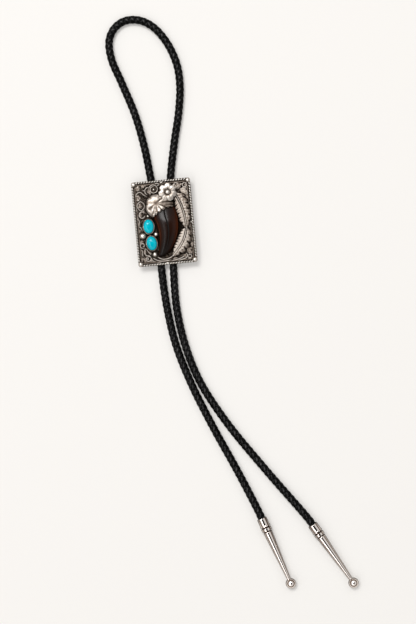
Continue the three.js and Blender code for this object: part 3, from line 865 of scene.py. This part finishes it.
class BOLO_OT_cord(bpy.types.Operator):
    """Braids the cord from eight flat leather strands, four each way, over one and under one."""

    bl_idname = "bolo.cord"
    bl_label = "Cord"

    ways = 4  # strands that turn the same way
    spacing = 0.95  # millimetres between two sections of a strand
    around = 8
    outer = 3.38  # radius over the crossings, where a strand stands highest
    pressed = 0.02  # the strands flatten on the surface that they lie on

    def execute(self, context):
        settings = context.scene.bolo_cord
        line, length = cord_line(self.spacing)
        sections = self.sections(line)
        parts = [self.core(sections)]
        for way in (1, -1):
            for number in range(self.ways):
                parts.append(self.strand(sections, settings, way, number * math.tau / self.ways))
        leather = braided_leather("braided_black_leather", context.scene.bolo_colours)
        cord = piece("braided_cord", parts, leather, ["cord"], sharp=60)
        return {"FINISHED"}

    def sections(self, line):
        """The centre, the way along, the side and the up of each section of the cord."""
        rows = []
        for index, point in enumerate(line):
            before = line[max(index - 1, 0)]
            after = line[min(index + 1, len(line) - 1)]
            tangent = (after - before).normalized()
            side = Vector((0, 0, 1)).cross(tangent).normalized()
            rows.append((point, tangent, side, tangent.cross(side)))
        return rows

    def core(self, sections):
        """The plain core that the strands are braided round."""
        radius = 1.9
        last = len(sections) - 1
        count = last // 3

        def place(u, v):
            centre, _, side, up = sections[round(u * count) * last // count]
            turn = v * math.tau
            x, y, z = centre + radius * (math.cos(turn) * side + math.sin(turn) * up)
            return x, y, z, 0

        return sheet(count, 8, place, weld=1e-4)

    def strand(self, sections, settings, way, start):
        """One flat strand that winds round the core and weaves over and under the others."""
        pitch = settings.pitch / MM
        wide = settings.strand_width / MM / 2
        thick = settings.strand_thickness / MM / 2
        weave = settings.weave / MM
        middle = self.outer - thick - weave
        lay = math.atan(math.tau * middle / pitch)
        last = len(sections) - 1

        def place(u, v):
            index = round(u * last)
            centre, tangent, side, up = sections[index]
            wound = index * self.spacing * math.tau / pitch
            across = wide * math.cos(v * math.tau)
            out = thick * math.sin(v * math.tau) * (1 - 0.25 * (across / wide) ** 2)
            radius = middle + way * weave * math.cos(self.ways * wound)
            turn = start + way * (wound + across * math.cos(lay) / radius)
            x, y, z = (
                centre
                - across * math.sin(lay) * tangent
                + (radius + out) * (math.cos(turn) * side + math.sin(turn) * up)
            )
            over = 0.5 + 0.5 * way * math.cos(self.ways * wound)
            # Painted sheen and scuffs: a strand's crown is lighter where it crosses over, and only on the
            # cord's upper side, where the light falls.
            crown = max(math.sin(v * math.tau), 0) ** 3 * max(math.sin(turn), 0) ** 2
            return x, y, max(z, self.pressed), crown * (0.2 + 0.8 * over)

        return sheet(last, self.around, place, weld=1e-4)


class BOLO_OT_tips(bpy.types.Operator):
    """Turns the two polished tips that end the cord."""

    bl_idname = "bolo.tips"
    bl_label = "Tips"

    steps = 64

    def execute(self, context):
        nickel = polished_nickel("polished_nickel_silver", context.scene.bolo_colours)
        for tip in TIPS:
            part = lathe(self.profile(), self.steps)
            bmesh.ops.recalc_face_normals(part, faces=part.faces)
            lying = Matrix.Rotation(math.radians(90), 4, "Y")
            turned = Matrix.Rotation(math.radians(tip["heading"]), 4, "Z")
            self.tarnish_and_painted_shade(part, lying)
            part.transform(Matrix.Translation((tip["x"], tip["y"], TIP_AXIS)) @ turned @ lying)
            made = piece(tip["name"] + "_turned", [part], nickel, [tip["name"]])
            soften(made, 0.14, 3, 28)
        return {"FINISHED"}

    def tarnish_and_painted_shade(self, part, lying):
        """Tarnishes the two grooves, out of the cloth's reach, and paints shade on the flanks, most along a
        line down each, standing in for the dark room and floor that they reflect.
        """
        tone = part.verts.layers.float["tone"]
        part.normal_update()
        for vert in part.verts:
            way = lying @ vert.normal
            side = math.hypot(way.x, way.y)
            # Painted reflection: flanks whose normals lie near level are painted dark, like the room and
            # floor that they face.
            painted_flank_shade = 0.9 * min(max(side - 0.82, 0) / 0.08, 1)
            groove = any(abs(vert.co.z - at) < 0.53 for at in TIP_GROOVES)
            vert[tone] = 1 if groove else painted_flank_shade

    def profile(self):
        """Radius and distance from the mouth: socket, sleeve, rings, a long cone and a ball."""
        neck = math.acos(TIP_CONE_END / TIP_BALL)
        return [
            *((radius, at) for at, radius in TIP_PROFILE),
            *dome(TIP_BALL, TIP_BALL_AT, TIP_BALL, 20, start=-neck),
        ]


class BOLO_OT_clip(bpy.types.Operator):
    """Bends the sheet clip behind the slide, with its two channels for the cord."""

    bl_idname = "bolo.clip"
    bl_label = "Clip"

    sheet_thickness = 0.8
    channel = 3.4  # half the width of a channel

    def execute(self, context):
        middle = self.section()
        low, high = CLIP_LOW.y, CLIP_HIGH.y

        def place(u, v):
            x, z = middle[round(u * (len(middle) - 1))]
            return x, low + (high - low) * v, z, 0

        part = sheet(len(middle) - 1, 8, place)
        bmesh.ops.recalc_face_normals(part, faces=part.faces)
        bmesh.ops.solidify(part, geom=part.faces[:], thickness=self.sheet_thickness)
        moved(part, 0, 0, CLIP_LOW.z - min(vert.co.z for vert in part.verts))
        nickel = brushed_nickel("brushed_nickel_silver", context.scene.bolo_colours)
        clip = piece("bent_clip", [part], nickel, ["cord_clip"])
        soften(clip, 0.15, 2, 30)
        return {"FINISHED"}

    def section(self):
        """The middle line of the bent sheet, as x and z."""
        half = self.sheet_thickness / 2
        top = CLIP_HIGH.z - half
        wall = self.channel + half
        low = half
        tight = 1.2
        wide = 2.4
        points = [(CLIP_LOW.x, top)]
        for x in (-STRAND, STRAND):
            points += arc(x - wall - tight, top - tight, tight, 90, 0)
            points += arc(x - wall + wide, low + wide, wide, 180, 270)
            points += arc(x + wall - wide, low + wide, wide, 270, 360)
            points += arc(x + wall + tight, top - tight, tight, 180, 90)
        points.append((CLIP_HIGH.x, top))
        return points


class BOLO_OT_plate(bpy.types.Operator):
    """Cuts the slide's back plate, with its chased ground."""

    bl_idname = "bolo.plate"
    bl_label = "Plate"

    band_inner = 3.3  # the flat band ends this far in from the slide's edge
    band_outer = 2.3  # and the groove beside the rope ends here
    corner = 2.0
    shadow = 3.5  # painted shadow: the ground is painted black this near to the claw

    def execute(self, context):
        noise.seed_set(SEED)
        part = sheet(170, 244, lambda u, v: self.ground(ROPE_X * (2 * u - 1), ROPE_Y * (2 * v - 1)))
        silver_piece("plate", [drop_walls(part, PLATE_BACK)])
        return {"FINISHED"}

    def ground(self, x, y):
        """Low chased foliage between the ornaments, inside a flat band and a groove along the rope."""
        edge = min(SLIDE_HIGH.x - abs(x), SLIDE_HIGH.y - abs(y))
        spot = Vector((x * 0.5, y * 0.5, 3.0))
        swirl = noise.noise_vector(spot * 0.7)
        leafy = noise.noise(spot + swirl * 1.2)
        ridge = 1 - min(1.0, abs(leafy) * 3.2) ** 1.5
        height = 0.3 * ridge - 0.05
        dark = 0.4 * (1 - ridge)
        if edge < self.band_inner:
            height = 0.3 if edge > self.band_outer else -0.25
            dark = 0.1 if edge > self.band_outer else 0.8
        left, right = claw_edges(y)
        # Painted shadow: the ground is painted black at the claw's edges, fading out over self.shadow
        # millimetres.
        dark = max(dark, 1 - max(left - x, x - right, 0) / self.shadow)
        over_x = max(abs(x) - (ROPE_X - self.corner), 0)
        over_y = max(abs(y) - (ROPE_Y - self.corner), 0)
        if over_x and over_y and math.hypot(over_x, over_y) > self.corner:
            shrink = self.corner / math.hypot(over_x, over_y)
            x = math.copysign(abs(x) - over_x * (1 - shrink), x)
            y = math.copysign(abs(y) - over_y * (1 - shrink), y)
        return x, y, PLATE_FACE + height, dark


class BOLO_OT_border(bpy.types.Operator):
    """Twists the rope wire round the edge, with the plain wire inside it and the corner balls."""

    bl_idname = "bolo.border"
    bl_label = "Rope border"

    rope_wire = ROPE_WIDTH * 0.26  # radius of each of the rope's two wires
    twist = ROPE_WIDTH * 0.27  # and how far each winds round the rope's middle
    inset = 1.9  # the plain wire lies this far inside the rope
    inset_corner = 1.4
    inset_wire = 0.25

    def execute(self, context):
        pitch = context.scene.bolo_slide.rope_pitch / MM
        z = PLATE_FACE + ROPE_RISE - ROPE_WIDTH / 2
        loop = rounded_loop(ROPE_X, ROPE_Y, ROPE_CORNER)
        turns = round(distances(loop)[-1] / pitch / 2)
        rows = evenly(loop, turns * 12)[:-1]
        runs = []
        for start in (0, math.pi):
            run = []
            for index, (point, way) in enumerate(rows):
                turn = start + math.tau * turns * index / len(rows)
                x, y = point + Vector((way.y, -way.x)) * self.twist * math.cos(turn)
                run.append((x, y, z + self.twist * math.sin(turn)))
            runs.append([*run, run[0]])
        silver_piece("rope_border", [wires(runs, self.rope_wire, 2)])
        inner = rounded_loop(ROPE_X - self.inset, ROPE_Y - self.inset, self.inset_corner)
        plain = [(point.x, point.y, PLATE_FACE + 0.1) for point, _ in evenly(inner, 120)]
        balls = [bead(x, y, CORNER_BALL) for x, y in CORNER_BALLS]
        silver_piece("border_wire", [wires([plain], self.inset_wire), *balls])
        return {"FINISHED"}


def bead(x, y, radius, steps=32):
    """A round bead soldered down, with a small collar of solder at its foot."""
    foot = radius * 1.08
    profile = [(0, -0.4), (foot, -0.4), (foot, 0), *dome(radius, 0.16 * radius, 0.9 * radius, 10)]
    return moved(lathe(profile, steps), x, y, PLATE_FACE)


class BOLO_OT_wires(bpy.types.Operator):
    """Lays the scrolls, tendrils and beads on the plate."""

    bl_idname = "bolo.wires"
    bl_label = "Scrolls and beads"

    rise = 0.3  # height of the wires' middle over the plate's face
    big_bead = 1.5  # a bead of a larger radius gets more steps

    def execute(self, context):
        radius = context.scene.bolo_slide.wire / MM
        z = PLATE_FACE + self.rise
        runs = []
        for x, y, outer, inner, start, turn in SCROLLS:
            count = max(int(abs(turn) / 12), 12)
            run = []
            for step in range(count + 1):
                share = step / count
                reach = outer + (inner - outer) * share
                angle = math.radians(start + turn * share)
                run.append((x + reach * math.cos(angle), y + reach * math.sin(angle), z))
            runs.append(run)
        for points in TENDRILS:
            count = 6 * (len(points) - 1)
            runs.append([(*along(points, step / count), z) for step in range(count + 1)])
        silver_piece("scroll_wires", [wires(runs, radius)])
        beads = [bead(x, y, ball, 40 if ball > self.big_bead else 20) for x, y, ball in BEADS]
        silver_piece("beads", beads)
        return {"FINISHED"}


def leaf(spine, lobes, depths, lift, crown, columns, rows, sweep=0.1, vein=0.3):
    """A long leaf on its spine, with a raised rib, a flat blade that rolls down at its edge, and edge lobes.

    lobes and depths are a pair each, for the plus and the minus side: how many lobes, and how deep.
    """

    def place(u, v):
        side = 2 * v - 1
        reach = abs(side)
        hand = 0 if side > 0 else 1
        at = u + sweep * reach * (1 - u)
        row = along(spine, at)
        ahead = along(spine, at + 0.01)
        behind = along(spine, at - 0.01)
        way = Vector((ahead[0] - behind[0], ahead[1] - behind[1])).normalized()
        phase = (u * lobes[hand]) % 1.0
        notch = abs(2 * phase**1.4 - 1) ** 3
        off = side * row[2 + hand] * (1 - depths[hand] * notch * reach)
        away = abs(off)
        rib = bump(away, 1.2 * vein)
        groove = bump(away - 2.4 * vein, 0.8 * vein) * (1 - 0.6 * u)
        crease = notch**1.5 * min(max(reach - 1 + 2.5 * depths[hand], 0) / depths[hand], 1)
        barb = (math.sin(phase * math.tau * 2) * 0.5 + 0.5) * reach
        round_off = max(1 - reach**5, 0) ** 0.6
        x = row[0] - way.y * off
        y = row[1] + way.x * off
        hammer = noise.noise(Vector((x * 0.9, y * 0.9, 5.0))) * (1.0, 0.3)[hand]
        detail = 0.6 * rib - 0.8 * groove - 0.8 * crease - 0.14 * barb + 0.3 * hammer
        dark = 0.9 * groove + 0.45 * crease + 0.3 * barb + 0.6 * max(-hammer, 0)
        return x, y, lift + crown * round_off + vein * detail, min(dark, 1.0)

    return sheet(columns, rows, place)


def claw_edges(y):
    """The claw's left and right edges at y, far out of the way beyond its ends."""
    for upper, lower in zip(CLAW, CLAW[1:]):
        if lower[0] <= y <= upper[0]:
            share = (upper[0] - y) / (upper[0] - lower[0])
            return [p + (q - p) * share for p, q in zip(upper[1:3], lower[1:3])]
    return 99, -99


class BOLO_OT_sprigs(bpy.types.Operator):
    """Scatters the small chased leaves over the ground."""

    bl_idname = "bolo.sprigs"
    bl_label = "Small leaves"

    bend = 0.12  # how far a leaf bends aside, as a share of its length
    spacing = 2.7  # between two rows of the low leaves
    strewn_x = 20.2  # the low leaves reach this far out from the slide's middle
    strewn_y = 31.4
    clear_left = 1.2  # and keep this far from the claw
    clear_right = 3.2
    clear_stone = (5.6, 7.2)  # and outside an oval of these halves round a stone

    def execute(self, context):
        noise.seed_set(SEED)
        parts = []
        for x0, y0, x1, y1, width in SPRIGS:
            parts.append(self.sprig(x0, y0, x1, y1, 0.8 * width, 28, 14))
        parts += self.foliage()
        silver_piece("small_leaves", parts)
        return {"FINISHED"}

    def sprig(self, x0, y0, x1, y1, half, columns, rows, lift=0.3):
        """A small bent leaf from its stalk to its point."""
        near_x, near_y = x0 + 0.35 * (x1 - x0), y0 + 0.35 * (y1 - y0)
        far_x, far_y = x0 + 0.7 * (x1 - x0), y0 + 0.7 * (y1 - y0)
        off_x, off_y = -(y1 - y0) * self.bend, (x1 - x0) * self.bend
        spine = [
            (x0, y0, 0.4 * half, 0.4 * half),
            (near_x + off_x, near_y + off_y, half, half),
            (far_x + off_x, far_y + off_y, 0.8 * half, 0.8 * half),
            (x1, y1, 0.12, 0.12),
        ]
        part = leaf(spine, (2, 2), (0.3, 0.3), PLATE_FACE + lift, 0.4, columns, rows, 0.2, 0.12)
        return drop_walls(part, ROOT)

    def foliage(self):
        """Low leaves that fill the ground, in rows that follow a slow swirl."""
        parts = []
        stone_x, stone_y = self.clear_stone
        for column in range(-8, 9):
            for row in range(-12, 13):
                across, down = column * self.spacing, (row + 0.5 * (column % 2)) * self.spacing
                spot = Vector((across, down, 4.0))
                stray = noise.noise_vector(spot * 3.1)
                x = spot.x + 0.8 * stray.x
                y = spot.y + 0.8 * stray.y
                left, right = claw_edges(y)
                if left - self.clear_left < x < right + self.clear_right:
                    continue
                if abs(x) > self.strewn_x or abs(y) > self.strewn_y:
                    continue
                if any(
                    math.hypot((x - stone["x"]) / stone_x, (y - stone["y"]) / stone_y) < 1
                    for stone in STONES
                ):
                    continue
                heading = 3.0 * noise.noise(spot * 0.12) + 0.7 * stray.z + math.pi / 2 * (1 - column / 8)
                long = 1.9 + 0.5 * stray.z
                run_x, run_y = long * math.cos(heading), long * math.sin(heading)
                parts.append(self.sprig(x - run_x, y - run_y, x + run_x, y + run_y, 1.3, 12, 8, -0.1))
        return parts


class BOLO_OT_feathers(bpy.types.Operator):
    """Models the two long feathery leaves down the right side."""

    bl_idname = "bolo.feathers"
    bl_label = "Feather leaves"

    upper_rise = 1.3  # height of a leaf's edge over the plate's face
    lower_rise = 1.1

    def execute(self, context):
        crown = context.scene.bolo_slide.leaf_crown / MM
        upper = leaf(UPPER_FEATHER, (6, 7), (0.16, 0.17), PLATE_FACE + self.upper_rise, crown, 170, 56)
        lower = leaf(LOWER_FEATHER, (5, 9), (0.22, 0.2), PLATE_FACE + self.lower_rise, crown, 190, 56)
        silver_piece("upper_feather", [drop_walls(upper, ROOT)])
        silver_piece("lower_feather", [drop_walls(lower, ROOT)])
        return {"FINISHED"}


class BOLO_OT_cap_leaf(bpy.types.Operator):
    """Models the broad leaf that caps the root of the claw."""

    bl_idname = "bolo.cap_leaf"
    bl_label = "Cap leaf"

    def execute(self, context):
        part = sheet(240, 44, self.place, weld=1e-4)
        silver_piece("cap_leaf", [drop_walls(part, ROOT)])
        return {"FINISHED"}

    def place(self, u, v):
        """From the hub (v = 0) to the edge (v = 1), round all the lobes (u)."""
        spot = u * len(CAP_LEAF)
        index = int(spot) % len(CAP_LEAF)
        phase = spot - int(spot)
        start_x, start_y, bulge_x, bulge_y = CAP_LEAF[index]
        end_x, end_y = CAP_LEAF[(index + 1) % len(CAP_LEAF)][:2]
        shares = ((1 - phase) ** 2, 2 * phase * (1 - phase), phase**2)
        edge_x = shares[0] * start_x + shares[1] * bulge_x + shares[2] * end_x
        edge_y = shares[0] * start_y + shares[1] * bulge_y + shares[2] * end_y
        x = CAP_HUB[0] + (edge_x - CAP_HUB[0]) * v
        y = CAP_HUB[1] + (edge_y - CAP_HUB[1]) * v
        radius_x, radius_y, radius_z = CAP_DOME["radii"]
        flat = 1 - ((x - CAP_DOME["x"]) / radius_x) ** 2 - ((y - CAP_DOME["y"]) / radius_y) ** 2
        high = PLATE_FACE - CAP_DOME["sink"] + radius_z * max(flat, 0.04) ** 0.5
        fold = max(self.fold(x, y, *row) for row in CAP_FOLDS)
        pit = bump(math.dist((x, y), CAP_HUB), 2.0)
        notch = abs(2 * phase - 1) ** 6 * v**4
        ribs = (0.5 + 0.5 * math.cos(u * math.tau * 34 + 3 * math.sin(u * 40))) * max(v - 0.35, 0)
        swell = noise.noise(Vector((x * 0.3, y * 0.3, 7.0)))
        # Painted shade: the leaf is painted darker towards its right side, away from the light, and its ribs
        # are darker there.
        turned = min(max((x + 2) / 6, 0), 1)
        z = high + 0.35 * swell - 0.15 * pit - 0.55 * fold - 0.3 * notch - 0.05 * ribs
        z -= 3.6 * max(v - 0.88, 0)
        dark = max(0.75 * fold, 0.6 * pit) + 0.7 * notch + ribs * (0.12 + 0.35 * turned) + 0.12 * turned
        return x, y, z, min(dark, 1.0)

    def fold(self, x, y, end_x, end_y, width, depth):
        """How deep the point lies in a fold that runs out from the hub: 0 well beside it."""
        run = Vector((end_x, end_y)) - Vector(CAP_HUB)
        out = Vector((x, y)) - Vector(CAP_HUB)
        share = min(max(out.dot(run) / run.length_squared, 0), 1)
        beside = (out - share * run).length
        fade = min(1, 1.5 * share) * (1 - 0.35 * share)
        return depth * bump(beside, width * (0.5 + 0.5 * share)) * fade


class BOLO_OT_flower(bpy.types.Operator):
    """Models the seven petalled flower and its heart."""

    bl_idname = "bolo.flower"
    bl_label = "Flower"

    inner = 1.3  # radius where the petals start
    long = 6.1  # a petal's length
    half = 3.0  # and half its width
    thickness = 0.9

    def execute(self, context):
        z = PLATE_FACE + FLOWER["rise"]
        parts = []
        for number in range(FLOWER["petals"]):
            turn = FLOWER["first"] + number * 360 / FLOWER["petals"]
            low = 0.12 * (number % 2)
            petal = drop_walls(sheet(28, 32, self.petal), depth=self.thickness)
            parts.append(moved(petal, FLOWER["x"], FLOWER["y"], z - low, turn))
        top = FLOWER["rise"]
        stalk = [(0, -0.3), (4.6, -0.3), (4.6, 0.6), (3.4, 2.2), (3.0, top - 0.4), (0, top)]
        parts.append(moved(lathe(stalk, 40), FLOWER["x"], FLOWER["y"], PLATE_FACE))
        silver_piece("flower_petals", parts)
        heart = FLOWER["heart"]
        button = lathe([(0, -0.5), (heart, -0.5), *dome(heart, 0.5, 1.7, 10)], 40)
        moved(button, FLOWER["x"], FLOWER["y"], z + 0.3)
        silver_piece("flower_heart", [button])
        return {"FINISHED"}

    def petal(self, u, v):
        """A petal along +X, arched over to its rim, with a soft crease from the heart."""
        side = 2 * v - 1
        reach = self.long * (1 - 0.3 * abs(side) ** 3 - 0.03 * bump(side, 0.25))
        width = self.half * (0.25 + 0.75 * math.sin(math.pi * (0.06 + 0.58 * u)) ** 0.9)
        crease = bump(side, 0.14) * (1 - u)
        z = 0.6 * math.sin(math.pi * (0.9 * u + 0.05)) - 0.38 * side**2 * (0.3 + 0.7 * u)
        z -= 0.1 * crease + 0.5 * max(abs(side) - 0.88, 0)
        dark = 0.6 * crease + 0.7 * bump(u, 0.28) + 0.5 * abs(side) ** 12
        return self.inner + reach * u, side * width, z, min(dark, 1.0)


class BOLO_OT_stones(bpy.types.Operator):
    """Sets the two turquoise cabochons in their serrated bezels."""

    bl_idname = "bolo.stones"
    bl_label = "Turquoise and bezels"

    def execute(self, context):
        blue = polished_turquoise("polished_turquoise", context.scene.bolo_colours)
        for stone in STONES:
            part = lathe(self.cabochon(), 64)
            part.transform(Matrix.Diagonal((*STONE_HALF, 1, 1)))
            moved(part, stone["x"], stone["y"], PLATE_FACE + STONE_GAP, stone["tilt"])
            piece(stone["name"] + "_cabochon", [part], blue, [stone["name"]])
        silver_piece("bezels", [self.bezel(stone) for stone in STONES])
        return {"FINISHED"}

    def cabochon(self):
        """Radius from 0 to 1 and height: a flat base, a short girdle and a high dome."""
        return [(0, 0), (0.94, 0), (1.0, 0.3), *dome(1.0, 1.6, 2.2, 16, power=0.92)]

    def bezel(self, stone):
        """A thin oval wall whose rim is filed into small teeth and leans in over the stone."""
        teeth = 44
        tooth_depth = 0.12
        section = ((0.30, -0.3), (0.85, -0.3), (0.85, 1.5), (0.62, BEZEL_HEIGHT), (0.12, BEZEL_HEIGHT + 0.1))
        section += ((0.22, 1.4), (0.30, -0.3))

        def place(u, v):
            turn = u * math.tau
            out, height = section[round(v * (len(section) - 1))]
            rim = 1.0 if height > 2 else 0.0
            out += rim * 0.09 * math.cos(teeth * turn)
            height -= rim * tooth_depth * (1 - math.cos(teeth * turn))
            x = (STONE_HALF[0] + out) * math.cos(turn)
            y = (STONE_HALF[1] + out) * math.sin(turn)
            return x, y, height, rim * 0.25 * (1 - math.cos(teeth * turn))

        part = sheet(teeth * 6, len(section) - 1, place, weld=1e-4)
        return moved(part, stone["x"], stone["y"], PLATE_FACE, stone["tilt"])


class BOLO_OT_claw(bpy.types.Operator):
    """Models the polished claw, with its ridge and the groove beside it."""

    bl_idname = "bolo.claw"
    bl_label = "Claw"

    def execute(self, context):
        groove = context.scene.bolo_slide.claw_groove / MM

        def place(u, v):
            inner = 0.015
            share = min(max((u - inner) / (1 - 2 * inner), 0), 1)
            y, left, right, crown = along(CLAW, share)
            ends = 1.0 if inner <= u <= 1 - inner else 0.0
            turn = v * math.tau
            across = math.cos(turn)
            half = (right - left) / 2 * ends
            middle = (right + left) / 2
            up = max(math.sin(turn), 0) ** 0.75
            under = min(math.sin(turn), 0) * 0.12
            line = -0.06 + 0.16 * share
            valley = bump(across - line, 0.055) * (1 - share) ** 0.5
            height = crown * (0.12 + (0.88 * up + under) * ends)
            height -= groove * valley * ends * up
            # Painted glow: amber stands in for light that gets into the claw along its thin edges, and a
            # little through its right half.
            painted_glow = abs(across) ** 6 * bump(share - 0.42, 0.34)
            body = 0.2 * up * (0.55 + 0.45 * across) * bump(share - 0.36, 0.27)
            edge = painted_glow + body
            return middle + half * across, y, CLAW_BACK + height, edge - valley

        part = sheet(140, 200, place, weld=1e-4)
        horn = polished_horn("polished_claw", context.scene.bolo_colours)
        piece("claw_body", [part], horn, ["claw"], 60)
        return {"FINISHED"}


class BOLO_PT_panel(bpy.types.Panel):
    """Lists the settings and the operators."""

    bl_idname = "BOLO_PT_panel"
    bl_label = "Bolo Tie"
    bl_space_type = "VIEW_3D"
    bl_region_type = "UI"
    bl_category = "Bolo Tie"

    def draw(self, context):
        for settings in SETTINGS:
            group = getattr(context.scene, settings)
            box = self.layout.box()
            for name in group.__annotations__:
                box.prop(group, name)
        for operator in OPERATORS:
            self.layout.operator(operator.bl_idname)


SETTINGS = {
    "bolo_cord": BoloCordSettings,
    "bolo_slide": BoloSlideSettings,
    "bolo_colours": BoloColours,
    "bolo_stage": BoloStageSettings,
}
OPERATORS = (
    BOLO_OT_stage,
    BOLO_OT_tips,
    BOLO_OT_cord,
    BOLO_OT_clip,
    BOLO_OT_plate,
    BOLO_OT_border,
    BOLO_OT_wires,
    BOLO_OT_sprigs,
    BOLO_OT_feathers,
    BOLO_OT_cap_leaf,
    BOLO_OT_flower,
    BOLO_OT_stones,
    BOLO_OT_claw,
)
CLASSES = (*SETTINGS.values(), *OPERATORS, BOLO_PT_panel)


def register():
    for each in CLASSES:
        bpy.utils.register_class(each)
    for name, group in SETTINGS.items():
        setattr(bpy.types.Scene, name, bpy.props.PointerProperty(type=group))


def unregister():
    for name in SETTINGS:
        delattr(bpy.types.Scene, name)
    for each in reversed(CLASSES):
        bpy.utils.unregister_class(each)


def main():
    """Makes every piece, camera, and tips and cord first."""
    register()
    bpy.ops.bolo.stage()
    bpy.ops.bolo.tips()
    bpy.ops.bolo.cord()
    bpy.ops.bolo.clip()
    bpy.ops.bolo.plate()
    bpy.ops.bolo.border()
    bpy.ops.bolo.wires()
    bpy.ops.bolo.sprigs()
    bpy.ops.bolo.feathers()
    bpy.ops.bolo.cap_leaf()
    bpy.ops.bolo.flower()
    bpy.ops.bolo.stones()
    bpy.ops.bolo.claw()


if __name__ == "__main__":
    main()
